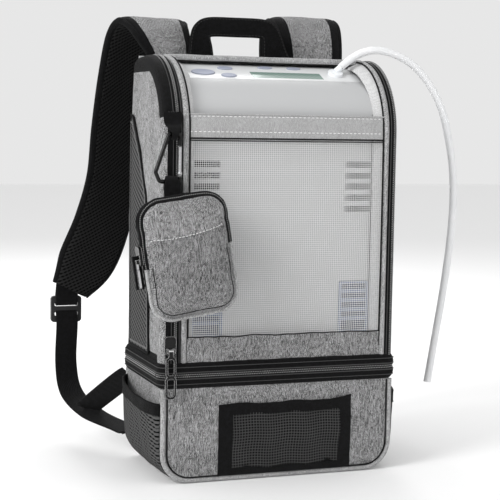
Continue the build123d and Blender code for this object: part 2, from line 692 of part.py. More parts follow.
# ---------------------------------------------------------------- oxygen outlet and tube
tube_points = [Vector(p) for p in TUBE_ROUTE]
tube_start = (tube_points[1] - tube_points[0]).normalized()
with BuildPart() as outlet_nozzle:
    with BuildSketch(PANEL):
        with Locations((NOZZLE_X - DEV_X, 0)):
            Circle(7.8)
    extrude(amount=3.2)
    with BuildSketch(PANEL):
        with Locations((NOZZLE_X - DEV_X, 0)):
            Circle(3.9)
    extrude(amount=-8)
    with BuildSketch(Plane(origin=tube_points[0] - tube_start * 7, z_dir=tube_start)):
        Circle(3.4)
    extrude(amount=6.7)
    with BuildSketch(Plane(origin=tube_points[0] - tube_start, z_dir=tube_start)):
        Circle(TUBE_ID / 2 - 0.1)
    extrude(amount=8)
save(outlet_nozzle, "outlet_nozzle")

runs = [(b - a).length for a, b in zip(tube_points, tube_points[1:])]
turns = [
    (b - a).get_angle(c - b) for a, b, c in zip(tube_points, tube_points[1:], tube_points[2:])
]
tube_radii = [
    0.45 * min(before, after) / tan(radians(turn_angle) / 2)
    for before, after, turn_angle in zip(runs, runs[1:], turns)
]
with BuildPart() as oxygen_tube:
    with BuildLine() as tube_line:
        FilletPolyline(*tube_points, radius=tube_radii)
    with BuildSketch(Plane(origin=tube_points[0], z_dir=tube_start)):
        Circle(TUBE_OD / 2)
        Circle(TUBE_ID / 2, mode=Mode.SUBTRACT)
    sweep()
save(oxygen_tube, "oxygen_tube")
tube_length = sum(edge.length for edge in tube_line.edges())
tube_section = pi * (TUBE_OD**2 - TUBE_ID**2) / 4
print("tube radii", [round(r) for r in tube_radii], "length", round(tube_length, 1))
print("tube volume", round(oxygen_tube.part.volume), "expected", round(tube_section * tube_length))

# ---------------------------------------------------------------- inside the concentrator
with BuildPart() as battery_pack:
    with Locations(BATTERY_AT):
        Box(*BATTERY_SIZE)
    fillet(battery_pack.edges().filter_by(Axis.X), 5)
save(battery_pack, "battery_pack")

CAP_T = 4.0  # the compressor's end cap
with BuildPart() as compressor_body:
    with Locations(COMPRESSOR_AT):
        Box(*COMPRESSOR_SIZE)
        with GridLocations(28, 0, 2, 1):
            with Locations((0, 0, COMPRESSOR_SIZE[2] / 2 + CAP_T)):
                Cylinder(11, 10)
        with Locations((6, 0, 0)):
            Cylinder(ROTOR_BORE_R, COMPRESSOR_SIZE[0], rotation=(0, 90, 0), mode=Mode.SUBTRACT)
        Cylinder(SHAFT_R + 0.05, 80, rotation=(0, 90, 0), mode=Mode.SUBTRACT)
    fillet(compressor_body.edges().filter_by(Axis.X).group_by(SortBy.LENGTH)[-1], 3)
save(compressor_body, "compressor_body")

with BuildPart() as compressor_rotor:
    with Locations(COMPRESSOR_AT):
        with Locations((2, 0, 0)):
            Cylinder(ROTOR_R, 48, rotation=(0, 90, 0))
        with Locations((1, 0, 0)):
            Cylinder(SHAFT_R, 72, rotation=(0, 90, 0))
save(compressor_rotor, "compressor_rotor")

with BuildPart() as compressor_cap:
    with Locations(COMPRESSOR_AT):
        with Locations(((COMPRESSOR_SIZE[0] + CAP_T) / 2, 0, 0)):
            Box(CAP_T, COMPRESSOR_SIZE[1], COMPRESSOR_SIZE[2])
            Cylinder(SHAFT_R + 0.05, 20, rotation=(0, 90, 0), mode=Mode.SUBTRACT)
save(compressor_cap, "compressor_cap")

with BuildPart() as sieve_columns:
    for x in SIEVE_X:
        with Locations((x, SIEVE_Y, SIEVE_Z)):
            Cylinder(SIEVE_R, SIEVE_LENGTH)
            for end in (-1, 1):
                with Locations((0, 0, end * (SIEVE_LENGTH + SIEVE_CAP) / 2)):
                    Cylinder(SIEVE_R + 2, SIEVE_CAP)
save(sieve_columns, "sieve_columns")

with BuildPart() as valve_manifold:
    with Locations(MANIFOLD_AT):
        Box(*MANIFOLD_SIZE)
    fillet(valve_manifold.edges().filter_by(Axis.Z), 3)
    with Locations((MANIFOLD_AT[0] - 14, MANIFOLD_AT[1] + 20, MANIFOLD_AT[2])):
        with GridLocations(20, 0, 3, 1):
            Box(13, 10, 10)
save(valve_manifold, "valve_manifold")

with BuildPart() as outlet_filter:
    with Locations((NOZZLE_X, 0, 391.5)):
        Cylinder(10, 7)
save(outlet_filter, "outlet_filter")

with BuildPart() as accumulator_tank:
    with Locations(TANK_AT):
        Cylinder(TANK_R, TANK_LENGTH)
    fillet(accumulator_tank.edges(), 5)
save(accumulator_tank, "accumulator_tank")

hose_foot = (TANK_AT[0], TANK_AT[1], TANK_AT[2] + TANK_LENGTH / 2)
with BuildPart() as air_hose:
    with BuildLine() as hose_line:
        FilletPolyline(
            hose_foot,
            (TANK_AT[0], TANK_AT[1], MANIFOLD_AT[2] - 1),
            (MANIFOLD_AT[0] - MANIFOLD_SIZE[0] / 2, TANK_AT[1], MANIFOLD_AT[2] - 1),
            radius=11,
        )
    with BuildSketch(Plane(origin=hose_foot)):
        Circle(HOSE_R)
    sweep()
save(air_hose, "air_hose")

with BuildPart() as fan_frame:
    with Locations(FAN_AT):
        Box(*FAN_SIZE)
        Cylinder(33, 30, rotation=(90, 0, 0), mode=Mode.SUBTRACT)
    with Locations((FAN_AT[0], FAN_AT[1] + FAN_SIZE[1] / 2 - 1, FAN_AT[2])):
        for angle in (45, 135):
            with Locations(Rotation(0, angle, 0)):
                Box(68, 2, 4)
        Cylinder(5, 2, rotation=(90, 0, 0))
        Cylinder(2.05, 20, rotation=(90, 0, 0), mode=Mode.SUBTRACT)
save(fan_frame, "fan_frame")

with BuildPart() as fan_rotor:
    with Locations((FAN_AT[0], FAN_AT[1] - 1, FAN_AT[2])):
        Cylinder(FAN_HUB_R, 11, rotation=(90, 0, 0))
        for blade in range(FAN_BLADES):
            with Locations(Rotation(0, blade * 360 / FAN_BLADES, 0)):
                with Locations(Location((21, 0, 0), (35, 0, 0))):
                    Box(20, 1.4, 12)
    with Locations((FAN_AT[0], FAN_AT[1] + 4, FAN_AT[2])):
        Cylinder(2, 8, rotation=(90, 0, 0))
save(fan_rotor, "fan_rotor")

with BuildPart() as intake_filter:
    with Locations(INTAKE_AT):
        Box(*INTAKE_SIZE)
    fillet(intake_filter.edges().filter_by(Axis.Y), 6)
save(intake_filter, "intake_filter")

with BuildPart() as main_pcb:
    with Locations(BOARD_AT):
        Box(*BOARD_SIZE)
    chip_y = BOARD_AT[1] - BOARD_SIZE[1] / 2 - 1.5
    with Locations((DEV_X - 40, chip_y, 230), (DEV_X + 10, chip_y, 330), (DEV_X + 60, chip_y, 250)):
        Box(24, 3, 24)
save(main_pcb, "main_pcb")
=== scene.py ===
from functools import cache
from math import asin, cos, pi, radians, sin

import bmesh
import bpy
import numpy as np
from mathutils import Matrix, Vector, noise


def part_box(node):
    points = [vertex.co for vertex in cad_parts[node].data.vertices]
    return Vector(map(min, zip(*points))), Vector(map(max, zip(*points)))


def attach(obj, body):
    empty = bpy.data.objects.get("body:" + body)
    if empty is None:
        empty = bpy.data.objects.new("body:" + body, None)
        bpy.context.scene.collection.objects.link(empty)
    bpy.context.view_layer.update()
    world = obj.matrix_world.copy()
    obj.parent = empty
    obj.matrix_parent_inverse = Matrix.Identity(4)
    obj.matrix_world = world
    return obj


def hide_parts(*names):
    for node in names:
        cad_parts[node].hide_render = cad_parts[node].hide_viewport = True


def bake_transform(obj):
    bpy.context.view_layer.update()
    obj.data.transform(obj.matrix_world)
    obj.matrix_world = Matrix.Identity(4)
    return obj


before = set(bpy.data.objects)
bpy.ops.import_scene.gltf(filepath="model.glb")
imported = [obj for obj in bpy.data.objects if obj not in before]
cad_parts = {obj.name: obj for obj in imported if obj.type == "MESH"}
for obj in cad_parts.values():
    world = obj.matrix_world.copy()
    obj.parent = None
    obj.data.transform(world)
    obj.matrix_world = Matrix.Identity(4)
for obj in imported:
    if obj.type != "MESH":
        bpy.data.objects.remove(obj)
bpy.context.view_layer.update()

# Portable oxygen concentrator in its carrying backpack. Metres, Z up, the front faces -Y.
MM = 0.001


@cache
def low(node):
    """Lowest corner of a CAD node."""
    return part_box(node)[0]


@cache
def high(node):
    """Highest corner of a CAD node."""
    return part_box(node)[1]


# ---------------------------------------------------------------- places, from the frame
HALF_W = high("lower_shell").x
FRONT, BACK = low("lower_shell").y, high("lower_shell").y
BAND_LOW = high("lower_shell").z
BAND_MID = high("lower_zip_tape").z
BAND_TOP = high("upper_zip_tape").z
TOP = high("upper_shell").z
FLAP_LEFT, FLAP_RIGHT = low("flap_frame").x, high("flap_frame").x
FLAP_MID, FLAP_HALF = (FLAP_LEFT + FLAP_RIGHT) / 2, (FLAP_RIGHT - FLAP_LEFT) / 2
WINDOW_LEFT, WINDOW_RIGHT = low("flap_mesh").x, high("flap_mesh").x
WINDOW_LOW, HEM_LOW = low("flap_mesh").z, low("flap_hem").z
HEM_TOP = high("flap_hem").z
WINDOW_X = np.linspace(WINDOW_LEFT, WINDOW_RIGHT, 60)
TAPE_BACK = high("main_zip_tape").y
TOP_BAR_BACK = high("flap_frame").y
HANDLE_Y = (low("carry_handle").y + high("carry_handle").y) / 2

# ---------------------------------------------------------------- sizes of the soft goods
FOLD_R = 75 * MM  # the front rolls over into the top
FOLD_Y, FOLD_Z = FRONT + FOLD_R, TOP - FOLD_R
STRAIGHT = FOLD_Z - BAND_TOP  # length of the upright part of the front
CORNER_R = 30 * MM  # bottom corners seen from the front
EDGE_R = 9 * MM  # upright edges seen from above
REAR_ROUND = 20 * MM  # the upper bag's rear corners grow this much rounder to the top
REAR_ROUND_LOW = 240 * MM  # from this height on
SHOULDER = 10 * MM  # the walls' rounding under the top panel
WALL_BOW = 2.6 * MM  # how far the padded side walls stand out
LOWER_WALL, UPPER_WALL = 6 * MM, 7 * MM
LOWER_SWELL, FLAP_SWELL = 3.5 * MM, 5 * MM
TAPE_WRAP = 12 * MM  # the zip tape reaches this far round the corner
RIM_W = WINDOW_LEFT - FLAP_LEFT
PIPING_R = 2.7 * MM
TOOTH_PITCH = 1.9 * MM
STITCH, STITCH_GAP, STITCH_R = 3.0 * MM, 1.6 * MM, 0.33 * MM
THREAD_PITCH, THREAD_R = 2.1 * MM, 0.23 * MM
AIR_FRAMES = 20  # how long the cloth pieces are filled


# ---------------------------------------------------------------- geometry helpers
def unit(rows):
    """Rows scaled to length one."""
    return rows / np.maximum(np.linalg.norm(rows, axis=-1, keepdims=True), 1e-12)


def xyz(x, y, z):
    """Points from their coordinates, each a single value or a block of values."""
    return np.stack(np.broadcast_arrays(x, y, z), -1).astype(float)


def share_of(value, start, length):
    """How far a value is through a range, from 0 to 1."""
    return np.clip((value - start) / length, 0, 1)


def carry(path, across, out, section):
    """Rings of a section, given as (across, outward) pairs, on the frames along a path."""
    section = np.broadcast_to(section, (len(path),) + np.shape(section)[-2:])
    return path[:, None] + across[:, None] * section[..., :1] + out[:, None] * section[..., 1:]


def resample(path, step, *others):
    """A path at even steps, and other rows that go with it."""
    path = np.asarray(path, float)
    lengths = np.r_[0, np.cumsum(np.linalg.norm(np.diff(path, axis=0), axis=1))]
    at = np.linspace(0, lengths[-1], max(2, round(lengths[-1] / step) + 1))
    picked = [
        np.stack([np.interp(at, lengths, column) for column in np.asarray(rows, float).T], 1)
        for rows in (path, *others)
    ]
    return picked if others else picked[0]


def smooth_path(points, count):
    """A Catmull-Rom curve through the points. Extra columns are carried along."""
    p = np.asarray(points, float)
    p = np.vstack([2 * p[0] - p[1], p, 2 * p[-1] - p[-2]])
    out = []
    for t in np.linspace(0, len(points) - 1, count):
        i = min(int(t), len(points) - 2)
        f = t - i
        a, b, c, d = p[i : i + 4]
        bend = (2 * a - 5 * b + 4 * c - d) * f * f + (3 * b - 3 * c + d - a) * f**3
        out.append(0.5 * (2 * b + (c - a) * f + bend))
    return np.array(out)


def sweep(path, normals, section, closed=False):
    """Rings of a section carried along a path whose outward side is given."""
    path, normals = np.asarray(path, float), np.asarray(normals, float)
    if closed:
        tangent = np.roll(path, -1, axis=0) - np.roll(path, 1, axis=0)
    else:
        tangent = np.gradient(path, axis=0)
    across = unit(np.cross(tangent, np.broadcast_to(normals, path.shape)))
    return carry(path, across, unit(np.cross(across, tangent)), section)


def circle(radius, sides=8, flatten=1.0):
    """A round or flattened section."""
    turn = np.arange(sides) * 2 * pi / sides
    return np.stack([radius * np.cos(turn), flatten * radius * np.sin(turn)], 1)


def flat_section(width, thickness):
    """A webbing's section with rounded edges."""
    half, t = width / 2, thickness / 2
    ribs = np.linspace(half - t, -half + t, 9)
    edge = [(half - t, t), (half - 0.3 * t, 0.7 * t), (half, 0), (half - 0.3 * t, -0.7 * t)]
    upper = [(-x, t) for x in ribs[:-1]]
    lower = [(x, -t) for x in ribs]
    left = [(-x, y) for x, y in edge[:0:-1]]
    return np.array(upper + edge + lower + left)


def ripple(points, size, pitch, seed=0.0):
    """Smooth random offsets for a block of points, the same on each run."""
    flat = np.asarray(points, float).reshape(-1, 3)
    shift = Vector((seed, 1.7 * seed, -seed))
    values = [noise.noise(Vector(p) / pitch + shift) for p in flat]
    return size * np.array(values).reshape(np.shape(points)[:-1])


class Shape:
    """Points and faces gathered for one piece."""

    def __init__(self):
        self.points, self.faces, self.slots = [], [], []

    def add(self, points, faces, slots):
        base = len(self.points)
        self.points.extend(map(tuple, np.asarray(points, float).reshape(-1, 3)))
        self.faces.extend([tuple(base + i for i in face) for face in faces])
        self.slots.extend(slots)

    def grid(self, rows, slot=0, loop_rows=False, loop_columns=False, caps=False):
        """Quads between neighbouring points of a block of rows."""
        n, m = np.shape(rows)[:2]
        faces, slots = [], []
        for i in range(n if loop_rows else n - 1):
            for j in range(m if loop_columns else m - 1):
                i2, j2 = (i + 1) % n, (j + 1) % m
                faces.append((i * m + j, i * m + j2, i2 * m + j2, i2 * m + j))
                slots.append(slot(i, j) if callable(slot) else slot)
        if caps:
            faces += [tuple(range(m))[::-1], tuple(range((n - 1) * m, n * m))]
            slots += [slots[0], slots[-1]]
        self.add(rows, faces, slots)
        return self

    def loft(self, rings, slot=0):
        """Rings joined one to the next, with both ends closed."""
        return self.grid(rings, slot, loop_columns=True, caps=True)

    def torus(self, rings, slot=0):
        """Rings joined one to the next and the last to the first."""
        return self.grid(rings, slot, loop_rows=True, loop_columns=True)

    def panel(self, outer, inner, slot=0, back_slot=None, hole=None):
        """A sheet with thickness between two blocks of rows, without the cells of a hole."""
        n, m = np.shape(outer)[:2]
        size, faces, slots = n * m, [], []
        back_slot = slot if back_slot is None else back_slot
        kept = np.zeros((n + 1, m + 1), bool)
        kept[1:-1, 1:-1] = True if hole is None else ~hole
        for i, j in np.argwhere(kept[1:-1, 1:-1]).tolist():
            a = i * m + j
            quad = (a, a + 1, a + m + 1, a + m)
            faces += [quad, tuple(size + k for k in quad[::-1])]
            slots += [slot(i, j) if callable(slot) else slot, back_slot]
            joined = (kept[i, j + 1], kept[i + 1, j + 2], kept[i + 2, j + 1], kept[i + 1, j])
            for p, q, is_joined in zip(quad, quad[1:] + quad[:1], joined):
                if not is_joined:
                    faces.append((q, p, size + p, size + q))
                    slots.append(back_slot)
        points = np.concatenate([outer.reshape(-1, 3), inner.reshape(-1, 3)])
        used = sorted({k for face in faces for k in face})
        number = {k: i for i, k in enumerate(used)}
        self.add(points[used], [tuple(number[k] for k in face) for face in faces], slots)
        return self

    def tube(self, path, radius, normals=(0, 0, 1), sides=8, closed=False, slot=0, flatten=1.0):
        """A round cord along a path."""
        rings = sweep(path, normals, circle(radius, sides, flatten), closed)
        return self.torus(rings, slot) if closed else self.loft(rings, slot)

    def stitches(self, path, normals, slot=0, length=STITCH, gap=STITCH_GAP, radius=STITCH_R):
        """Short thread dashes along a path."""
        step = (length + gap) / 6
        path, normals = resample(path, step, np.broadcast_to(normals, np.shape(path)))
        width = np.array([0.35, 1.0, 1.0, 1.0, 0.35])[:, None, None]
        for start in range(0, len(path) - 4, 6):
            part = slice(start, start + 5)
            self.loft(sweep(path[part], normals[part], circle(radius, 6) * width), slot)
        return self

    def teeth(self, path, normals, slot=0, reach=1.0 * MM, rise=1.0 * MM, shift=0.0):
        """A row of zip teeth along a path: small blocks that narrow to the top."""
        path, normals = resample(path, TOOTH_PITCH, np.broadcast_to(normals, np.shape(path)))
        tangent = unit(np.gradient(path, axis=0))
        across = unit(np.cross(tangent, normals))
        corners = np.array([(-1, -1), (1, -1), (1, 1), (-1, 1)]) * (0.27 * TOOTH_PITCH, reach / 2)
        for p, t, n, a in zip(path + tangent * shift, tangent, unit(normals), across):
            foot = corners @ [t, a]
            top = corners * (0.55, 0.72) @ [t, a]
            self.loft([p + foot, p + foot + n * rise * 0.65, p + top + n * rise], slot)
        return self


def add_object(name, data):
    """A new object in the scene."""
    obj = bpy.data.objects.new(name, data)
    bpy.context.scene.collection.objects.link(obj)
    return obj


def piece(name, shape, materials, body=None, replaces=()):
    """One finished Blender piece: its mesh, its materials and the body it rides on."""
    mesh = bpy.data.meshes.new(name)
    mesh.from_pydata(shape.points, [], shape.faces)
    for material in materials:
        mesh.materials.append(material)
    mesh.polygons.foreach_set("material_index", shape.slots)
    work = bmesh.new()
    work.from_mesh(mesh)
    bmesh.ops.recalc_face_normals(work, faces=work.faces)
    work.to_mesh(mesh)
    work.free()
    mesh.polygons.foreach_set("use_smooth", [True] * len(mesh.polygons))
    mesh.set_sharp_from_angle(angle=radians(50))
    obj = add_object(name, mesh)
    if body:
        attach(obj, body)
    if replaces:
        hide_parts(*replaces)
    return obj


# ---------------------------------------------------------------- materials
class Finish:
    """A Principled material and short ways of adding procedural nodes to it."""

    def __init__(self, name, colour, roughness, **sockets):
        self.material = bpy.data.materials.new(name)
        self.material.use_nodes = True
        self.tree = self.material.node_tree
        self.shader = self.tree.nodes["Principled BSDF"]
        self.coords = self.tree.nodes.new("ShaderNodeTexCoord").outputs["Object"]
        self.set("Base Color", (*colour, 1))
        self.set("Roughness", roughness)
        for socket, value in sockets.items():
            self.set(socket.replace("_", " "), value)

    def feed(self, target, value):
        """A fixed value on a socket, or a link from another node."""
        if isinstance(value, bpy.types.NodeSocket):
            self.tree.links.new(value, target)
        else:
            target.default_value = value

    def set(self, socket, value):
        self.feed(self.shader.inputs[socket], value)

    def node(self, kind, inputs, **settings):
        made = self.tree.nodes.new(kind)
        for key, value in settings.items():
            setattr(made, key, value)
        for key, value in inputs.items():
            self.feed(made.inputs[key], value)
        return made

    def noise(self, scale, detail=2.0):
        """Noise in object coordinates; the scale is one number or one per axis."""
        scale = (scale,) * 3 if np.isscalar(scale) else scale
        stretched = self.node("ShaderNodeMapping", {"Vector": self.coords, "Scale": scale})
        inputs = {"Vector": stretched.outputs[0], "Scale": 1.0, "Detail": detail}
        return self.node("ShaderNodeTexNoise", inputs).outputs["Fac"]

    def math(self, operation, a, b):
        return self.node("ShaderNodeMath", {0: a, 1: b}, operation=operation).outputs[0]

    def fit(self, value, low_value, high_value, new_low=0.0, new_high=1.0):
        inputs = {0: value, 1: low_value, 2: high_value, 3: new_low, 4: new_high}
        return self.node("ShaderNodeMapRange", inputs).outputs[0]

    def tint(self, factor, a, b):
        """Base colour between two colours."""
        inputs = {0: factor, 6: (*a, 1), 7: (*b, 1)}
        self.set("Base Color", self.node("ShaderNodeMix", inputs, data_type="RGBA").outputs[2])

    def bump(self, height, strength, distance):
        inputs = {"Height": height, "Strength": strength, "Distance": distance}
        self.set("Normal", self.node("ShaderNodeBump", inputs).outputs[0])

    def wave(self, pitch, level, upright=0.0):
        """Even waves from -1 to 1, counted along a level and an upright share of the way."""
        split = self.node("ShaderNodeSeparateXYZ", {"Vector": self.coords}).outputs
        across = self.math("ADD", split["X"], split["Y"])
        parts = [
            self.math("MULTIPLY", way, share * 2 * pi / pitch)
            for way, share in ((across, level), (split["Z"], upright))
        ]
        return self.math("SINE", self.math("ADD", *parts), 0.0)

    def weave(self, pitch):
        """Crossing threads, upright and level."""
        return self.math("MULTIPLY", self.wave(pitch, 1.0), self.wave(pitch, 0.0, 1.25))


def grey(value, blue=0.0):
    return (value, value, value + blue)


def heather(name, dark, light):
    """Grey melange cloth: light and dark slubs along the upright yarns over a plain weave."""
    cloth = Finish(name, grey(light), 0.92, Sheen_Weight=0.1, Specular_IOR_Level=0.15)
    slubs = cloth.noise((2000, 2000, 170), 1.0)
    specks = cloth.noise((2300, 2300, 1500), 0.0)
    patches = cloth.noise((45, 45, 30))
    weave = cloth.weave(2.0 * MM)
    shares = ((slubs, 0.50), (specks, 0.50), (patches, 0.10), (weave, 0.08))
    parts = [cloth.math("MULTIPLY", part, share) for part, share in shares]
    blend = cloth.math("ADD", cloth.math("ADD", *parts[:2]), cloth.math("ADD", *parts[2:]))
    cloth.tint(cloth.fit(blend, 0.48, 0.65), grey(dark), grey(light, 0.004))
    cloth.bump(cloth.math("ADD", weave, slubs), 0.5, 0.4 * MM)
    return cloth.material


def woven_black(name, value, pitch):
    """Black tape or webbing with its fine ribs and a little dust."""
    cloth = Finish(name, grey(value), 0.8, Sheen_Weight=0.02, Specular_IOR_Level=0.12)
    worn = cloth.fit(cloth.noise(300, 4.0), 0.35, 0.75)
    cloth.tint(worn, grey(value * 0.7), grey(value * 1.7, 0.001))
    cloth.bump(cloth.weave(pitch), 0.7, 0.4 * MM)
    return cloth.material


def knit_mesh(name, value, hole, pitch):
    """Spacer mesh: rows of small holes on the diagonal."""
    cloth = Finish(name, grey(value), 0.8, Specular_IOR_Level=0.06)
    rows = cloth.math("MULTIPLY", cloth.wave(pitch, 0.45, -0.9), 0.65)
    dots = cloth.math("MULTIPLY", cloth.wave(pitch * 0.8, 0.7, 0.5), 0.35)
    holes = cloth.fit(cloth.math("ADD", rows, dots), 0.0, 0.55)
    cloth.tint(holes, grey(value), grey(hole))
    cloth.bump(cloth.math("MULTIPLY", holes, -1.0), 0.8, 0.5 * MM)
    return cloth.material


def moulded(name, colour, roughness, grain=0.12):
    """Moulded plastic: a fine spark-eroded grain and a little unevenness in its gloss."""
    plastic = Finish(name, colour, roughness)
    patches = plastic.noise(60, 3.0)
    plastic.set("Roughness", plastic.fit(patches, 0.3, 0.7, roughness * 0.85, roughness * 1.15))
    plastic.bump(plastic.noise(2600, 1.0), grain, 0.05 * MM)
    return plastic.material


def metal(name, colour, roughness):
    """Metal with fine drawn marks."""
    finish = Finish(name, colour, roughness, Metallic=1.0)
    marks = finish.noise((400, 400, 4000))
    finish.set("Roughness", finish.fit(marks, 0.3, 0.7, roughness * 0.7, roughness * 1.4))
    finish.bump(marks, 0.08, 0.05 * MM)
    return finish.material


def painted_metal(name, value, roughness):
    """Black lacquered zinc with a painted highlight: its edges are tinted light grey."""
    finish = Finish(name, grey(value), roughness, Specular_IOR_Level=0.25)
    softened = finish.node("ShaderNodeBevel", {"Radius": 0.9 * MM}, samples=8).outputs[0]
    straight = finish.node("ShaderNodeNewGeometry", {}).outputs["Normal"]
    inputs = {0: softened, 1: straight}
    facing = finish.node("ShaderNodeVectorMath", inputs, operation="DOT_PRODUCT").outputs["Value"]
    # Painted highlight: light grey along every edge, wherever the rounded bevel normal leans away
    # from the face's own normal.
    finish.tint(finish.fit(facing, 0.93, 0.75), grey(value), grey(0.7))
    finish.bump(finish.noise(500), 0.1, 0.1 * MM)
    return finish.material


def circuit_board(name):
    """Green lacquer over copper tracks."""
    lacquer, tracks = (0.01, 0.12, 0.04), (0.05, 0.26, 0.09)
    board = Finish(name, lacquer, 0.35)
    crossing = board.math("MULTIPLY", board.wave(3 * MM, 1.0), board.wave(5 * MM, 0.0, 1.0))
    board.tint(board.fit(crossing, 0.1, 0.2), lacquer, tracks)
    return board.material


HEATHER = heather("heather_cloth", 0.035, 0.47)
HEATHER_SHADE = heather("heather_cloth_pocket", 0.027, 0.39)
HEATHER_PALE = heather("heather_piping", 0.18, 0.54)
HEM_CLOTH = heather("hem_cloth", 0.31, 0.48)
LINING = heather("lining_cloth", 0.50, 0.68)
BLACK_CLOTH = woven_black("black_cloth", 0.004, 1.1 * MM)
BLACK_TAPE = woven_black("black_zip_tape", 0.004, 0.9 * MM)
WEBBING = woven_black("black_webbing", 0.004, 1.8 * MM)
BLACK_MESH = knit_mesh("black_spacer_mesh", 0.020, 0.001, 4.2 * MM)
GREY_MESH = knit_mesh("grey_pocket_mesh", 0.085, 0.002, 3.6 * MM)
VENT_MESH = knit_mesh("grey_side_mesh", 0.09, 0.002, 5.2 * MM)
WINDOW_THREAD = moulded("window_thread", grey(0.74), 0.6)
POCKET_THREAD = moulded("pocket_thread", grey(0.03), 0.6)
STITCH_WHITE = moulded("white_thread", grey(0.88), 0.7)
STITCH_GREY = moulded("grey_thread", grey(0.22), 0.7)
STITCH_BLACK = moulded("black_thread", grey(0.02), 0.7)
# Partly painted highlight: the coil is dark, and this grey stands in for the glints along its
# teeth.
COIL = moulded("zip_coil", grey(0.26), 0.25)
COIL_DARK = moulded("zip_coil_dark", grey(0.03), 0.5)
# Painted shadow: thin black cords laid in seams, along gaps and under edges, where shade falls.
PAINTED_SHADOW_LINE = woven_black("painted_shadow_line", 0.01, 0.8 * MM)


# ---------------------------------------------------------------- the bag's surfaces
def skin(s):
    """Side view of the front and top: y, z and outward normal at a length s from the band."""
    s = np.asarray(s, float)
    turn = np.clip((s - STRAIGHT) / FOLD_R, 0, pi / 2)
    level = np.maximum(s - STRAIGHT - FOLD_R * pi / 2, 0)
    y = FOLD_Y - FOLD_R * np.cos(turn) + level
    z = BAND_TOP + np.minimum(s, STRAIGHT) + FOLD_R * np.sin(turn)
    return y, z, -np.cos(turn), np.sin(turn)


def skin_length(z):
    """The length along the front at a given height."""
    if z <= FOLD_Z:
        return z - BAND_TOP
    return STRAIGHT + FOLD_R * asin(min(1.0, (z - FOLD_Z) / FOLD_R))


SKIN_END = STRAIGHT + FOLD_R * pi / 2 + TAPE_BACK - FOLD_Y


def swell(x, s):
    """How far the filled flap stands out."""
    side = np.clip(1 - ((x - FLAP_MID) / FLAP_HALF) ** 2, 0, 1) ** 0.7
    up = np.sin(pi * share_of(s, 0, skin_length(HEM_TOP) + 5 * MM)) ** 0.8
    return FLAP_SWELL * side * up


def on_skin(x, s, out=0.0):
    """Points on the front and top of the upper bag, and their outward normals."""
    x, s = np.broadcast_arrays(x, s)
    y, z, ny, nz = skin(s)
    lift = out + swell(x, s)
    return xyz(x, y + ny * lift, z + nz * lift), xyz(0, ny, nz)


def lower_width(z):
    """Half width of the lower bag at a height, with its round bottom corners."""
    drop = np.clip(CORNER_R - z, 0, CORNER_R)
    bow = 1.2 * MM * np.sin(pi * share_of(z, 0, BAND_LOW))
    return HALF_W - CORNER_R + np.sqrt(CORNER_R**2 - drop**2) + bow


def lower_front(x, z):
    """Y of the lower bag's front face, which bulges a little."""
    side = np.clip(1 - (x / HALF_W) ** 2, 0, 1)
    return FRONT - LOWER_SWELL * side * np.sin(pi * share_of(z, 0, BAND_LOW)) ** 0.7


def rounded_ring(half_x, y_low, y_high, radius, inset=0.0):
    """A rounded rectangle seen from above, as (x, y) pairs, starting at the front left."""
    half_x, y_low, y_high = half_x - inset, y_low + inset, y_high - inset
    radius = max(radius - inset, 1 * MM)
    corners = (
        (-half_x + radius, y_low + radius, 180),
        (half_x - radius, y_low + radius, 270),
        (half_x - radius, y_high - radius, 0),
        (-half_x + radius, y_high - radius, 90),
    )

    def on_corner(corner, angle):
        """A point on a corner's arc."""
        turn = radians(corner[2] + angle)
        return np.array([corner[0] + radius * cos(turn), corner[1] + radius * sin(turn)])

    ring = []
    for corner, count, after in zip(corners, (44, 22, 30, 22), corners[1:] + corners[:1]):
        ring += [on_corner(corner, 15 * k) for k in range(7)]
        begin, end = ring[-1], on_corner(after, 0)
        ring += [begin + (end - begin) * k / count for k in range(1, count)]
    return np.array(ring)


# ---------------------------------------------------------------- lower compartment
def lower_ring(z, inset=0.0):
    """One level of the lower bag."""
    foot = 4 * MM * (1 - min(1.0, z / (6 * MM)))
    ring = rounded_ring(float(lower_width(z)), FRONT + foot, BACK - foot, EDGE_R, inset)
    front = ring[:, 1] < FRONT + foot + inset + 1 * MM
    ring[front, 1] += lower_front(ring[front, 0], z) - FRONT
    return xyz(*ring.T, z)


def lower_bag():
    """The tub under the zip band: heather outside, black lining inside."""
    turns = np.radians(np.linspace(0, 90, 10))
    levels = np.r_[CORNER_R * (1 - np.cos(turns)), np.linspace(CORNER_R, BAND_LOW, 14)[1:]]
    outside = [lower_ring(z) for z in levels]
    inside = [lower_ring(z, LOWER_WALL) for z in levels if z > LOWER_WALL][::-1]
    centre = np.array([0, (FRONT + BACK) / 2, 0])
    base = [centre + (outside[0] - centre) * f for f in (0.35, 0.7)]
    floor = [
        centre + (inside[-1] * (1, 1, 0) - centre) * f + (0, 0, LOWER_WALL)
        for f in (0.97, 0.6, 0.3)
    ]
    rows = np.array(base + outside + inside + floor)
    rows[..., 1] -= np.where(rows[..., 1] < 0, ripple(rows, 0.8 * MM, 30 * MM), 0)
    lined = len(base) + len(outside)
    shape = Shape().loft(rows, lambda i, j: int(i >= lined))
    piece("lower_bag", shape, [HEATHER, BLACK_CLOTH], "lower_pack",
          ["lower_shell"])


def face_outline(inset, top):
    """The lower bag's front face as a path, from its top left round the bottom."""
    half, r = HALF_W - inset, CORNER_R - inset
    left = [(-half, z) for z in np.linspace(top, CORNER_R, 14)]
    turns = np.radians(np.linspace(180, 270, 14))
    arc = [(-half + r + r * cos(t), CORNER_R + r * sin(t)) for t in turns]
    low_run = [(x, inset) for x in np.linspace(-half + r, 0, 14)]
    half_path = left + arc[1:] + low_run[1:]
    return np.array(half_path + [(-x, z) for x, z in half_path[-2::-1]])


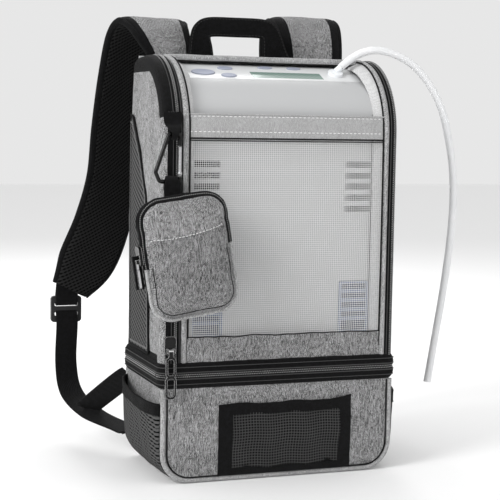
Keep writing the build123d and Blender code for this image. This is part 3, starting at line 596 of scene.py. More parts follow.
def lower_piping():
    """Piping round the front and back faces, with a painted shadow line in the seam beside it."""
    shape = Shape()
    for face, sign in ((FRONT, 1), (BACK, -1)):
        x, z = face_outline(PIPING_R - 0.4 * MM, BAND_LOW - 2 * MM).T
        path = xyz(x, face + sign * 1.6 * MM, z + 0.5 * MM)
        path[:, 1] += ripple(path, 0.5 * MM, 25 * MM)
        shape.tube(path, PIPING_R, (0, -sign, 0), sides=12)
        # The painted shadow line in the seam beside the piping.
        x, z = face_outline(2 * PIPING_R + 0.6 * MM, BAND_LOW - 2 * MM).T
        y = lower_front(x, z) if sign == 1 else BACK
        shape.tube(xyz(x, y + sign * 0.3 * MM, z), 0.9 * MM, (0, -sign, 0), slot=1)
    piece("lower_piping", shape, [HEATHER_PALE, PAINTED_SHADOW_LINE], "lower_pack")


def band_path(z, out):
    """A level line round the zip band."""
    return xyz(*rounded_ring(HALF_W + out, FRONT - out, BACK, EDGE_R + 1 * MM).T, z)


def ring_normals(path):
    """Level outward normals of a closed path."""
    tangent = np.roll(path, -1, axis=0) - np.roll(path, 1, axis=0)
    return unit(np.cross(tangent, (0, 0, 1)))


def zip_band(name, body, cad_node, z_seam, z_hem):
    """Half of the zip band: a rolled tape from its hem to the teeth."""
    profile = ((0.0, 0.2), (0.08, 1.5), (0.3, 2.9), (0.6, 3.6), (0.85, 3.5), (0.97, 2.6), (1, 1.4))
    rows = [band_path(z_hem + (z_seam - z_hem) * f, out * MM) for f, out in profile]
    shape = Shape().torus([*rows, band_path(z_seam, -4 * MM), band_path(z_hem, -4 * MM)])
    up = 1 if z_hem > z_seam else -1
    for height, radius in ((2.9, 0.6), (8.2, 0.4)):
        line = band_path(z_seam + up * height * MM, 3.45 * MM)
        shape.tube(line, radius * MM, ring_normals(line), closed=True, slot=1)
    teeth_path = band_path(z_seam + up * 0.75 * MM, 2.4 * MM)
    shape.teeth(teeth_path, ring_normals(teeth_path), 2, shift=up * TOOTH_PITCH / 4)
    piece(name, shape, [BLACK_TAPE, COIL_DARK, COIL], body, [cad_node])


def pocket_front_y(x, z):
    """Y of the mesh pocket's front, which stands off the bag."""
    lo, hi = low("front_pocket_frame"), high("front_pocket_frame")
    u, v = (x - lo.x) / (hi.x - lo.x), (z - lo.z) / (hi.z - lo.z)
    rise = np.clip(4 * u * (1 - u), 0, 1) ** 0.5 * np.clip(v, 0, 1) ** 0.45
    return lower_front(x, z) - 1.0 * MM - 4.6 * MM * rise


def pocket_border():
    """The mesh pocket's black border, its side strips, and a black sheet behind the net as painted
    shade inside the pocket.
    """
    lo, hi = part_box("front_pocket_frame")
    inner_lo, inner_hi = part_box("front_pocket_mesh")
    columns = np.unique(np.r_[np.linspace(lo.x, hi.x, 49), inner_lo.x, inner_hi.x])
    levels = np.unique(np.r_[np.linspace(lo.z, hi.z, 29), inner_lo.z, inner_hi.z])
    x, z = np.meshgrid(columns, levels)
    wave = 1.1 * np.sin(x / (9 * MM)) + 2.0 * np.exp(-(((x - hi.x) / (7 * MM)) ** 2))
    top_share = share_of(z, inner_hi.z, hi.z - inner_hi.z)
    outer = xyz(x, pocket_front_y(x, z), z + top_share * wave * MM)
    outer[..., 1] -= ripple(outer, 0.9 * MM, 22 * MM)

    def between(edges, start, end):
        """The cells of a row of edges that lie between two limits."""
        return (edges[:-1] >= start - 1e-6) & (edges[1:] <= end + 1e-6)

    window = np.outer(between(levels, inner_lo.z, inner_hi.z),
                      between(columns, inner_lo.x, inner_hi.x))
    shape = Shape().panel(outer, outer + (0, 1.3 * MM, 0), hole=window)
    for column, inward in ((0, MM), (-1, -MM)):
        x, y, z = outer[:, column].T
        strip = np.stack([xyz(x, y, z), xyz(x, lower_front(x, z) + 0.4 * MM, z)], 1)
        shape.panel(strip, strip + (inward, 0, 0))
    # Painted shade: a black sheet behind the net stands in for the shaded cloth inside the pocket.
    x, z = np.meshgrid(np.linspace(lo.x + MM, hi.x - MM, 40), np.linspace(lo.z, hi.z - MM, 16))
    painted_shade_sheet = xyz(x, lower_front(x, z) - 0.7 * MM, z)
    shape.panel(painted_shade_sheet, painted_shade_sheet + (0, 1.0 * MM, 0))
    piece("mesh_pocket_border", shape, [BLACK_CLOTH], "lower_pack",
          ["front_pocket_frame"])


def pocket_net():
    """The mesh pocket's crossing threads, with the net's slack and folds."""
    lo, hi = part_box("front_pocket_mesh")
    step, width, overrun = 2.9 * MM, 0.5 * MM, 1 * MM
    shape = Shape()

    def thread(x, z):
        fold = 0.9 * MM * np.sin(x / (7 * MM) + z / (31 * MM))
        line = xyz(x, pocket_front_y(x, z) + 1.0 * MM + fold, z)
        line[:, (0, 2)] += 0.5 * MM * np.sin(line[:, (2, 0)] / (6 * MM))
        shape.tube(line, width, (0, -1, 0), sides=4, flatten=0.5)

    for x in np.arange(lo.x + step / 2, hi.x, step):
        thread(x, np.linspace(lo.z - overrun, hi.z + overrun, 24))
    for z in np.arange(lo.z + step / 2, hi.z, step):
        thread(np.linspace(lo.x - overrun, hi.x + overrun, 48), z)
    piece("mesh_pocket_net", shape, [POCKET_THREAD], "lower_pack",
          ["front_pocket_mesh"])


def bottle_pocket(label, side):
    """A gathered stretch mesh pocket with a smooth hem, on one side of the lower bag."""
    front, back, bottom = -63 * MM, 58 * MM, 7 * MM
    hem_share, fold_end = 0.84, 0.86
    y, share = np.meshgrid(np.linspace(front, back, 65), np.linspace(0, 1, 27))
    along = (y - front) / (back - front)
    top = 80 * MM + 9 * MM * along
    z = bottom + (top - bottom) * share
    across = np.clip(1 - (2 * along - 1) ** 2, 0, 1) ** 0.55
    folds = 0.9 * MM * np.cos(y / (2.6 * MM) + 0.8 * np.sin(y / (9 * MM))) * (1 - share) ** 0.5
    stand = (1.5 * MM + 12.5 * MM * share**0.8 + folds * (share < fold_end)) * across
    outer = xyz(side * (lower_width(z) + 0.5 * MM + np.maximum(stand, 0)), y, z)
    outer[..., 0] += side * ripple(outer, 1.2 * MM, 20 * MM, seed=side)
    inner = outer - (side * 1.1 * MM, 0, 0)
    hem_row = int(len(share) * hem_share)
    shape = Shape().panel(outer[: hem_row + 1], inner[: hem_row + 1])
    lift = np.array([side * 0.6 * MM, 0, 0])
    shape.panel(outer[hem_row:] + lift, inner[hem_row:] - lift, 1)
    shape.tube(outer[-1] - (side * 0.5 * MM, 0, 0), 1.3 * MM, (side, 0, 0), slot=1)
    seam = outer[hem_row] + lift * 1.4
    shape.stitches(seam, (side, 0, 0), 2, length=2 * MM, gap=1.2 * MM)
    piece(f"bottle_pocket_{label}", shape, [GREY_MESH, BLACK_CLOTH, STITCH_BLACK], "lower_pack",
          [f"side_pocket_{label}"])


# ---------------------------------------------------------------- upper compartment
def wall_front(z):
    """Front edge of the side walls, behind the zip tape's wrap."""
    reach = FOLD_R - TAPE_WRAP + 2 * MM
    rise = np.clip(z - FOLD_Z, 0, reach)
    return np.minimum(FOLD_Y - np.sqrt(reach**2 - rise**2), TAPE_BACK)


def wall_ring(z, inset, bow=0.0):
    """One level of the side and back walls, from the left front edge to the right one."""
    start = wall_front(z) if z < TOP - SHOULDER - 0.2 * MM else TAPE_BACK
    round_up = share_of(z, REAR_ROUND_LOW, TOP - REAR_ROUND_LOW)
    half, back = HALF_W - inset, BACK - inset
    r = max(EDGE_R + REAR_ROUND * round_up**1.5 - inset, 2 * MM)
    puff = bow * np.sin(pi * np.linspace(0, 1, 20))
    left = np.column_stack([-half - puff, np.linspace(start, back - r, 20)])
    turns = np.radians(np.linspace(180, 90, 7))[1:]
    corner = [(-half + r + r * cos(t), back - r + r * sin(t)) for t in turns]
    run = [(x, back) for x in np.linspace(-half + r, 0, 15)[1:]]
    half_ring = np.vstack([left, corner, run])
    return xyz(*np.vstack([half_ring, half_ring[-2::-1] * (-1, 1)]).T, z)


def upper_walls():
    """Padded side and back walls with a rounded shoulder under the top panel."""
    shoulder_low = TOP - SHOULDER
    rows = [
        (z, 0.0, WALL_BOW * sin(pi * share_of(z, BAND_TOP, shoulder_low - BAND_TOP)))
        for z in np.linspace(BAND_TOP, shoulder_low, 44)
    ]
    for turn in np.radians((18, 36, 54, 72, 90)):
        rows.append((shoulder_low + SHOULDER * sin(turn), SHOULDER * (1 - cos(turn)), 0.0))
    outer = np.array([wall_ring(z, inset, bow) for z, inset, bow in rows])
    inner = np.array([
        wall_ring(z - (UPPER_WALL if inset else 0), max(inset, UPPER_WALL) + 0.01 * MM)
        for z, inset, _ in rows
    ])
    x = outer[..., 0]
    on_side = np.abs(x) > 120 * MM
    x += np.sign(x) * np.where(on_side, ripple(outer, 1.2 * MM, 35 * MM), 0)
    bound = len(rows) - 7
    shape = Shape().panel(outer, inner, lambda i, _: 0 if 0 < i < bound else 2, 1)
    piece("upper_walls", shape, [HEATHER, LINING, BLACK_CLOTH], "upper_pack",
          ["upper_shell"])


def upper_floor():
    """The floor between the two compartments."""
    half = high("upper_shell").x - 6.3 * MM
    ring = rounded_ring(half, low("upper_shell").y + 3 * MM, BACK - 7.3 * MM, 6 * MM)
    under, over = BAND_MID + 0.6 * MM, BAND_TOP
    levels = ((0.3, under), (0.99, under), (1, under + 1.4 * MM), (1, over - 1 * MM), (0.99, over),
              (0.3, over))
    shape = Shape().loft([xyz(*ring.T * scale, z) for scale, z in levels])
    piece("upper_floor", shape, [BLACK_CLOTH], "upper_pack")


def top_panel():
    """The flat top behind the zip, with piping along its rear edge."""
    half, start, end = HALF_W - 9 * MM, TAPE_BACK + 0.3 * MM, BACK - 9 * MM
    x, y = np.meshgrid(np.linspace(-half, half, 50), np.linspace(start, end, 12))
    u, v = x / half, (y - start) / (end - start)
    outer = xyz(x, y, TOP - 0.6 * MM + 1.8 * MM * (1 - u**4) * np.sin(pi * v) ** 0.6)
    outer[..., 2] += ripple(outer, 0.8 * MM, 25 * MM)
    shape = Shape().panel(outer, outer - (0, 0, 3 * MM))
    rear = xyz(np.linspace(-half, half, 40), end + 0.5 * MM, TOP - 0.2 * MM)
    shape.tube(rear, 1.6 * MM, slot=1)
    piece("top_panel", shape, [HEATHER, HEATHER_PALE], "upper_pack")


SIDE_MESH = [
    (48, 365), (40, 363), (8, 328), (-17, 285), (-23, 200), (-23, 125), (48, 125),
]  # y, z in millimetres: the outline of the side's mesh, which reaches down to the zip band


def side_x(y, z):
    """How far out the side wall is at a point."""
    start = wall_front(z)
    up = share_of(z, BAND_TOP, TOP - SHOULDER - BAND_TOP)
    along = share_of(y, start, BACK - EDGE_R - start)
    return HALF_W + WALL_BOW * np.sin(pi * up) * np.sin(pi * along)


def side_vent(label, side):
    """The dark mesh set into a side wall, with its bound edge and zigzag stitches."""
    corners = np.array(SIDE_MESH) * MM
    outline = resample([*corners, corners[0]], 3 * MM)[:-1]
    centre = np.array([14, 215]) * MM

    def on_wall(share, rise):
        """The outline shrunk to a share of its size, at a height over the wall."""
        y, z = (centre + (outline - centre) * share).T
        return xyz(side * (side_x(y, z) + rise), y, z)

    rings = [on_wall(f, 1.1 * MM + 1.0 * MM * (1 - f**2)) for f in np.linspace(0, 1, 14)[1:]]
    shape = Shape().loft([*rings, on_wall(1, -2 * MM)])
    shape.tube(on_wall(1, 1.2 * MM), 1.5 * MM, (side, 0, 0), closed=True, slot=1, flatten=0.7)
    seam = on_wall(0.95, 2.0 * MM)
    path = resample([*seam, seam[0]], 1.6 * MM)
    across = unit(np.cross(np.gradient(path, axis=0), (side, 0, 0)))
    zigzag = path + across * (np.arange(len(path)) % 2 * 2 - 1)[:, None] * 1.0 * MM
    shape.tube(zigzag, 0.28 * MM, (side, 0, 0), sides=5, slot=2)
    piece(f"side_vent_{label}", shape, [VENT_MESH, BLACK_CLOTH, STITCH_GREY], "upper_pack",
          ["side_vent_meshes"])


def tape_section(side):
    """Zip tape from the flap's edge round the corner of the bag, as (x, out) pairs."""
    inner_x = (FLAP_LEFT if side < 0 else -FLAP_RIGHT) / MM - 0.4
    profile = [
        (inner_x, -0.6), (inner_x - 1.5, 0.1), (-118.6, 0.5), (-121.6, 0.0), (-123.6, -1.5),
        (-125.2, -4.0), (-126.0, -7.5), (-126.2, -12.0), (-124.6, -12.0), (-124.2, -7.5),
        (-123.3, -4.8), (-121.6, -3.2), (-118.6, -2.6), (inner_x - 1.5, -2.6), (inner_x, -2.6),
    ]
    return np.array([(-side * x * MM, out * MM) for x, out in profile])


def skin_strip(section, s_values):
    """Rings of (x, out) pairs carried over the front and top."""
    x, out = np.array(section).T
    y, z, ny, nz = (column[:, None] for column in skin(s_values))
    return xyz(x, y + ny * out, z + nz * out)


def main_tape():
    """The zip tape up both sides of the flap and across its top, narrower below the pouch's tab."""
    s_values = np.linspace(0.4 * MM, SKIN_END, 80)
    below_tab = np.searchsorted(s_values, skin_length(362 * MM))
    shape = Shape()
    for side, edge, heather_rows, lines in (
        (-1, FLAP_LEFT, below_tab, (-4.1, 4.1)), (1, FLAP_RIGHT, 0, (-4.1,)),
    ):
        rows = skin_strip(tape_section(side), s_values)
        shape.loft(rows, lambda i, j: 3 if i < heather_rows and 3 <= j < 11 else 0)
        middle = edge + side * 6.2 * MM
        for offset, shift in ((-0.8, 0.0), (0.8, 0.5)):
            path, normals = on_skin(middle + offset * MM, s_values, 0.35 * MM)
            shape.teeth(path, normals, 2, rise=1.1 * MM, shift=shift * TOOTH_PITCH)
        for offset in lines:
            path, normals = on_skin(middle + offset * MM, s_values, 0.3 * MM)
            shape.tube(path, 0.5 * MM, normals, sides=6, slot=1)
    x = np.linspace(FLAP_LEFT - 1 * MM, FLAP_RIGHT + 1 * MM, 60)
    front = TOP_BAR_BACK + 0.4 * MM
    outer = xyz(x, np.linspace(front, TAPE_BACK, 5)[:, None], TOP + 0.3 * MM)
    shape.panel(outer, outer - (0, 0, 2.5 * MM))
    shape.teeth(xyz(x, (front + TAPE_BACK) / 2, TOP + 0.2 * MM), (0, 0, 1), 2)
    piece("main_tape", shape, [BLACK_TAPE, COIL_DARK, COIL, HEATHER], "upper_pack",
          ["main_zip_tape"])


# ---------------------------------------------------------------- front flap
def flap_rim():
    """The flap's piped edge: up both sides and across the top."""
    shape = Shape()
    s_values = np.linspace(0.6 * MM, skin_length(TOP) + TOP_BAR_BACK - FOLD_Y - 2 * MM, 80)
    turns = np.linspace(0, pi, 9)
    for side, edge in ((-1, FLAP_LEFT), (1, FLAP_RIGHT)):
        middle = edge - side * RIM_W / 2
        dome = [(middle + RIM_W / 2 * cos(t), -1.2 * MM + 2.4 * MM * sin(t)) for t in turns]
        section = dome + [(middle - RIM_W / 2, -3.2 * MM), (middle + RIM_W / 2, -3.2 * MM)]
        shape.loft(skin_strip(section, s_values))
        # A painted shadow line: a black cord along the gap between the rim and the window.
        path, normals = on_skin(edge - side * (RIM_W + 0.7 * MM), s_values, -0.5 * MM)
        shape.tube(path, 0.9 * MM, normals, sides=6, slot=1)
    half = FLAP_HALF - 1 * MM
    x = np.linspace(FLAP_MID - half, FLAP_MID + half, 60)
    y0, z0, _, _ = skin(skin_length(TOP) - 4 * MM)
    bar = xyz(x, y0 + 3 * MM, z0 - 1.2 * MM)
    bar[:, 2] += ripple(bar, 0.7 * MM, 30 * MM)
    shape.tube(bar, 3.4 * MM, (0, -1, 0), sides=14)
    # A painted shadow line under the top bar.
    shape.tube(bar - (0, 1.4 * MM, 3.2 * MM), 1.0 * MM, (0, -1, 0), slot=1)
    cover = xyz(x, np.linspace(y0 + 2 * MM, TOP_BAR_BACK, 7)[:, None], TOP + 0.4 * MM)
    shape.panel(cover, cover - (0, 0, 3.4 * MM))
    piece("flap_rim", shape, [HEATHER_PALE, PAINTED_SHADOW_LINE], "front_flap",
          ["flap_frame"])


def flap_sheet(s_low, s_high, out, size, pitch, seed=0.0):
    """A rippled sheet over the flap's width: its points and normals, twelve rows high."""
    points, normals = on_skin(WINDOW_X, np.linspace(s_low, s_high, 12)[:, None], out)
    return points + normals * ripple(points, size, pitch, seed)[..., None], normals


def flap_bottom_panel():
    """The solid heather panel under the window."""
    outer, normals = flap_sheet(0.4 * MM, WINDOW_LOW - BAND_TOP, 0.2 * MM, 1.0 * MM, 22 * MM)
    outer[-1, :, 2] += ripple(outer[-1], 1.6 * MM, 14 * MM, seed=5)
    shape = Shape().panel(outer, outer - normals * 3 * MM)
    # A painted shadow line: a black cord along the panel's top edge, where it meets the window.
    shape.tube(outer[-1] + (0, 1.0 * MM, 0.3 * MM), 0.7 * MM, normals[-1], slot=1)
    piece("flap_bottom_panel", shape, [HEATHER, PAINTED_SHADOW_LINE], "front_flap")


def flap_hem():
    """The folded band above the window, with two rows of stitches, a painted shadow line along its
    lower edge and another along its fold line.
    """
    s_low = skin_length(HEM_LOW)
    outer, normals = flap_sheet(s_low, skin_length(HEM_TOP), -0.4 * MM, 0.8 * MM, 18 * MM, 3)
    shape = Shape().panel(outer, outer - normals * 1.8 * MM)
    # Row 11 is the rolled top edge. Row 0 is a painted shadow line under the lower edge.
    for row, radius, slot in ((11, 0.9, 0), (0, 0.8, 1)):
        shape.tube(outer[row], radius * MM, normals[row], slot=slot)
    for row in (10, 3):
        shape.stitches(outer[row] + normals[row] * 0.15 * MM, normals[row], 2)
    # A painted shadow line along the fold.
    fold, fold_normals = on_skin(WINDOW_X, s_low - 2.2 * MM, -0.5 * MM)
    shape.tube(fold, 0.45 * MM, fold_normals, sides=6, slot=1)
    piece("flap_hem_band", shape, [HEM_CLOTH, PAINTED_SHADOW_LINE, STITCH_WHITE], "front_flap",
          ["flap_hem"])


def side_facings():
    """Thin pale lining turned in down both sides of the flap, in loose folds at the open top."""
    shape = Shape()
    s_values = np.linspace(WINDOW_LOW - BAND_TOP, skin_length(TOP) - 2 * MM, 90)[:, None]
    y, z, ny, nz = skin(s_values)
    loose = share_of(s_values, skin_length(HEM_TOP), 60 * MM) ** 2
    profile = np.array([(0.0, -1.6), (2.5, -3.2), (5.5, -4.6), (8.5, -6.4), (10.0, -9.0)])
    reach, out = profile.T * MM
    for side, edge in ((-1, WINDOW_LEFT), (1, WINDOW_RIGHT)):
        outer = xyz(edge - side * reach * (0.8 + 0.25 * loose), y + ny * out, z + nz * out)
        outer[:, 2:, 0] += loose * ripple(outer[:, 2:], 2.5 * MM, 12 * MM, seed=side)
        shape.panel(outer, outer + (side * 0.7 * MM, 0.3 * MM, -0.3 * MM))
    piece("flap_side_facings", shape, [LINING], "front_flap")


def window_net():
    """The see-through window: real crossing threads."""
    shape = Shape()
    s_low, s_high = skin_length(WINDOW_LOW) - 1 * MM, skin_length(HEM_LOW) + 1 * MM
    uprights = np.arange(WINDOW_LEFT + THREAD_PITCH / 2, WINDOW_RIGHT, THREAD_PITCH)
    x_line = np.linspace(WINDOW_LEFT - 1 * MM, WINDOW_RIGHT + 1 * MM, 40)
    threads = [(x, np.linspace(s_low, s_high, 26)) for x in uprights]
    threads += [(x_line, s) for s in np.arange(s_low + THREAD_PITCH / 2, s_high, THREAD_PITCH)]
    for x, s in threads:
        path, normals = on_skin(x, s, -1.3 * MM)
        shape.tube(path, THREAD_R, normals, sides=4)
    piece("window_net", shape, [WINDOW_THREAD], "front_flap", ["flap_mesh"])


# ---------------------------------------------------------------- tab, pouch and its loop
def webbing_loop(name, stations, x, body, cad_node):
    """A webbing strip that runs down, round a wire and back up: y, z and width in millimetres."""
    path = smooth_path([(x, y * MM, z * MM, w * MM) for y, z, w in stations], 40)
    path, width = path[:, :3], path[:, 3]
    section = np.array([flat_section(w, 1.5 * MM) for w in width])
    normals = np.cross(np.gradient(path, axis=0), (1, 0, 0))
    shape = Shape().loft(sweep(path, normals, section))
    for end in (0, -1):
        seam = path[end] + np.array([(-5, -1, 0), (5, -1, 0)]) * MM
        shape.stitches(seam, (0, -1, 0), 1, length=1.6 * MM, gap=1.0 * MM)
    piece(name, shape, [WEBBING, STITCH_BLACK], body, [cad_node])


# Stations of both webbing loops: y, z and width in millimetres.
TAB_LINE = [
    (-69.6, 368, 19), (-70.2, 362, 19), (-71.8, 356, 17), (-77.5, 352, 12), (-80.6, 347, 7),
    (-76.0, 341.8, 6), (-71.4, 346, 6), (-70.0, 355, 7),
]
LOOP_LINE = [
    (-84.0, 281, 17), (-82.0, 289, 17), (-80.8, 297, 16), (-79.6, 303, 13), (-75.5, 306, 11),
    (-71.2, 302, 11), (-72.4, 295, 13), (-79.5, 288, 16), (-82.0, 280, 17),
]

POUCH_TURN = radians(9)
POUCH_X = Vector((cos(POUCH_TURN), 0, sin(POUCH_TURN)))
POUCH_UP = Vector((-sin(POUCH_TURN), 0, cos(POUCH_TURN)))
POUCH_MID = (low("pouch_body") + high("pouch_body")) / 2
POUCH_BACK = Vector((POUCH_MID.x, high("pouch_body").y, POUCH_MID.z))
POUCH_HALF_W, POUCH_HALF_H, POUCH_R = 45 * MM, 59 * MM, 22 * MM


def pouch_outline(inset, step=2.2 * MM):
    """The pouch's outline as (u, v), from the middle of its right side round over the top."""
    w, h, r = POUCH_HALF_W - inset, POUCH_HALF_H - inset, POUCH_R - inset
    ring = [(w, 0.0)]
    corners = ((w - r, h - r, 0), (r - w, h - r, 90), (r - w, r - h, 180), (w - r, r - h, 270))
    for cx, cy, start in corners:
        turns = np.radians(np.arange(start, start + 91, 10))
        ring += [(cx + r * cos(t), cy + r * sin(t)) for t in turns]
    ring.append((w, 0.0))
    return resample(ring, step)[:-1]


def matched_outline(inset):
    """The pouch's outline with the same number of points at any inset."""
    ring = pouch_outline(inset, 0.5 * MM)
    return ring[np.linspace(0, len(ring), 96, endpoint=False).astype(int)]


def pouch_runs(inset):
    """The outline's two runs: the zip over the top, and the piping round the bottom."""
    ring = pouch_outline(inset)
    ring = np.roll(ring, -int(np.argmin(ring[:, 1])), axis=0)
    upper = np.flatnonzero(ring[:, 1] > 6 * MM * np.sign(ring[:, 0]))
    first, last = upper[0], upper[-1]
    return ring[first : last + 1], np.vstack([ring[last:], ring[: first + 1]])


def pouch_points(outline, depth):
    """Points of an outline at a depth from the pouch's back to its front."""
    front = Vector((0, -depth, 0))
    return np.array([POUCH_BACK + front + POUCH_X * u + POUCH_UP * v for u, v in outline])


def pouch_local(point):
    """(u, v, depth) of a point in the pouch's own frame."""
    d = point - POUCH_BACK
    return d.dot(POUCH_X), d.dot(POUCH_UP), -d.y


def bake(obj):
    """Puts the object's mesh, as its modifiers leave it, in place of them."""
    graph = bpy.context.evaluated_depsgraph_get()
    mesh = bpy.data.meshes.new_from_object(obj.evaluated_get(graph))
    obj.modifiers.clear()
    obj.data = mesh


def corners_of(obj):
    """The places of an object's vertices."""
    return np.array([vertex.co for vertex in obj.data.vertices])


def inflate(obj, voxel, cap, pressure):
    """Remesh a closed piece evenly, fill it with air, and keep the result."""
    scene = bpy.context.scene
    remesh = obj.modifiers.new("even", "REMESH")
    remesh.mode = "VOXEL"
    remesh.voxel_size = voxel
    bake(obj)
    rest = corners_of(obj)
    cloth = obj.modifiers.new("air", "CLOTH")
    cloth.settings.use_pressure = True
    cloth.settings.uniform_pressure_force = pressure
    cloth.settings.effector_weights.gravity = 0
    cloth.point_cache.frame_end = AIR_FRAMES
    for number in range(1, AIR_FRAMES + 1):
        scene.frame_set(number)
    bake(obj)
    moved = corners_of(obj) - rest
    length = np.linalg.norm(moved, axis=1, keepdims=True)
    moved *= np.minimum(1.0, cap / np.maximum(length, 1e-9))
    obj.data.vertices.foreach_set("co", (rest + moved).ravel())
    scene.frame_set(1)
    obj.modifiers.new("finer", "SUBSURF").levels = 1
    bake(obj)
    obj.data.polygons.foreach_set("use_smooth", [True] * len(obj.data.polygons))


def pouch_bag():
    """The pouch's filled cloth body, with the step of its curved front pocket."""
    levels = ((0, 9), (1.5, 4), (5, 1.5), (12, 1), (19, 1.5), (22.5, 4), (24, 9), (24, 22))
    rows = [pouch_points(matched_outline(inset * MM), depth * MM) for depth, inset in levels]
    bag = piece("pouch_bag", Shape().loft(rows), [HEATHER])
    inflate(bag, 4.5 * MM, 6 * MM, pressure=4.0)

    steps = []
    for vertex in bag.data.vertices:
        u, v, depth = pouch_local(vertex.co)
        below = share_of(seam_height(u), v, 1.5 * MM)
        front = share_of(depth, 19 * MM, 3 * MM)
        steps.append(vertex.normal * 0.9 * MM * below * front)
    for vertex, step in zip(bag.data.vertices, steps):
        vertex.co += step

    def choose(middle):
        u, v, depth = pouch_local(middle)
        if depth < 17.5 * MM:
            return 2
        return 1 if v < seam_height(u) else 0

    paint(bag, [HEATHER, HEATHER_SHADE, BLACK_CLOTH], choose)
    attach(bag, "pouch")
    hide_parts("pouch_body")
    return bag


def pouch_trim(bag):
    """The pouch's zip, piping, seams and pull tab, laid on its filled body."""
    trim = Shape()
    zip_run, lower_run = pouch_runs(1.0 * MM)
    path, normals = hug(pouch_points(zip_run, 18.5 * MM), bag, 0.3 * MM)
    normals = unit(normals + (0, -0.6, 0))
    trim.loft(sweep(path, normals, flat_section(7 * MM, 1.8 * MM)))
    trim.teeth(path + normals * 0.7 * MM, normals, 1, reach=0.8 * MM, rise=0.6 * MM)
    for outline, depth, out, radius, look in (
        (lower_run, 18.5, 0.7, 1.9, {"sides": 10, "slot": 2}),
        # a painted shadow line in the seam just inside the lower piping
        (pouch_runs(5.0 * MM)[1], 26, 0.1, 0.45, {"sides": 6, "slot": 3}),
        (pouch_outline(1.0 * MM), 3, 0.2, 1.5, {"closed": True}),
    ):
        path, normals = hug(pouch_points(outline, depth * MM), bag, out * MM)
        trim.tube(path, radius * MM, normals, **look)
    across = np.linspace(-POUCH_HALF_W + 4 * MM, POUCH_HALF_W - 4 * MM, 60)
    seam = pouch_points(np.column_stack([across, seam_height(across)]), 30 * MM)
    path, normals = hug(seam, bag, 0.25 * MM)
    trim.stitches(path, normals, 4, length=2.6 * MM, gap=0.9 * MM, radius=0.3 * MM)
    path, normals = hug(seam - (0, 0, 1.2 * MM), bag, -0.2 * MM)
    trim.tube(path, 0.8 * MM, normals, slot=5)
    tab = np.array([(u, v) for v in (8, -2, -14, -24) for u in (-45.5, -53.5)]) * MM
    tab_rows = pouch_points(tab, 9 * MM).reshape(4, 2, 3)
    trim.panel(tab_rows, tab_rows - (0, 2.4 * MM, 0), 6)
    piece("pouch_trim", trim,
          [BLACK_TAPE, COIL, HEATHER_PALE, PAINTED_SHADOW_LINE, STITCH_WHITE, HEATHER_SHADE, BLACK_CLOTH],
          "pouch")


def paint(obj, materials, chooser):
    """Gives each face the material that the chooser picks from its middle."""
    obj.data.materials.clear()
    for material in materials:
        obj.data.materials.append(material)
    slots = [chooser(face.center) for face in obj.data.polygons]
    obj.data.polygons.foreach_set("material_index", slots)
    obj.data.update()


def hug(path, obj, out):
    """A path laid on the surface of a piece, and the normals there."""
    points, normals = [], []
    for p in path:
        _, place, normal, _ = obj.closest_point_on_mesh(Vector(p))
        points.append(place + normal * out)
        normals.append(normal)
    return np.array(points), np.array(normals)


def seam_height(u):
    """Height of the pouch's curved pocket seam across its front."""
    share = (u + POUCH_HALF_W) / (2 * POUCH_HALF_W)
    return (23.5 + 5.5 * share - 4.6 * np.sin(pi * share)) * MM


# ---------------------------------------------------------------- handle and straps
HANDLE_LINE = [  # x, z and width in millimetres, from the left foot over the grip
    (-47.5, 424, 30), (-48, 436, 27), (-48.5, 447, 23.5), (-46, 455, 22), (-37, 459.3, 21),
    (-8, 459.8, 21), (20, 459.5, 21), (29, 456, 22), (33, 448, 23.5), (35.5, 436, 28),
    (38, 424, 34),
]


def handle():
    """The carrying handle: folded webbing with its lengthwise ribs and a row of stitches along each
    edge.
    """
    line = smooth_path(HANDLE_LINE, 90) * MM
    path = xyz(line[:, 0], HANDLE_Y, line[:, 1])
    path[:, 1] += ripple(path, 0.8 * MM, 20 * MM)
    ribs = np.linspace(-1, 1, 33)
    groove = 0.22 * MM * np.cos(ribs * 16 * pi) * (1 - ribs**8) * (np.abs(ribs) < 0.97)
    rise = 2.0 * MM * np.clip(1 - ribs**10, 0, 1) ** 0.5 + groove
    sections = []
    for width in line[:, 2]:
        face = np.column_stack([ribs * width / 2, rise])
        sections.append(np.vstack([face, (face * (1, -1))[-2:0:-1]]))
    shape = Shape().loft(sweep(path, (0, -1, 0), np.array(sections)))
    for edge in (-1, 1):
        offsets = np.array([[(edge * (w / 2 - 2.2 * MM), 2.1 * MM)] for w in line[:, 2]])
        seam = sweep(path, (0, -1, 0), offsets)[:, 0]
        shape.stitches(seam, (0, -1, 0), 1, length=2.2 * MM, gap=1.4 * MM)
    piece("webbing_handle", shape, [WEBBING, STITCH_BLACK], "handle",
          ["carry_handle"])


# Stations of each strap: x, y, z of its middle, turn of its width in degrees, width.
LEFT_STRAP = [
    (-76, 76, 404, 0, 42), (-78, 78, 434, 2, 48), (-85, 88, 456, 5, 64), (-90, 108, 464, 10, 78),
    (-99, 130, 447, 19, 77), (-110, 147, 402, 30, 70), (-115, 156, 350, 30, 68),
    (-117, 163, 295, 26, 68), (-125, 171, 245, 14, 68), (-141, 181, 198, 6, 66),
    (-158, 189, 166, 0, 42),
]
RIGHT_STRAP = [
    (86, 76, 404, 0, 68), (86, 78, 440, -1, 70), (85, 88, 464, -3, 74), (84, 108, 471, -5, 76),
    (86, 130, 456, -8, 74), (92, 147, 410, -14, 70), (100, 156, 352, -20, 68),
    (108, 163, 295, -20, 68), (118, 171, 245, -12, 68), (133, 181, 198, -6, 66),
    (150, 189, 166, 0, 42),
]
STRAP_T = 10 * MM


def strap_frame(line):
    """Path, across and outward directions of a strap, from rows of x, y, z and turn."""
    path = line[:, :3] * MM
    tangent = unit(np.gradient(path, axis=0))
    turn = np.radians(line[:, 3])
    across = xyz(np.cos(turn), np.sin(turn), 0)
    across = unit(across - tangent * np.sum(across * tangent, 1, keepdims=True))
    return path, across, np.cross(across, tangent)


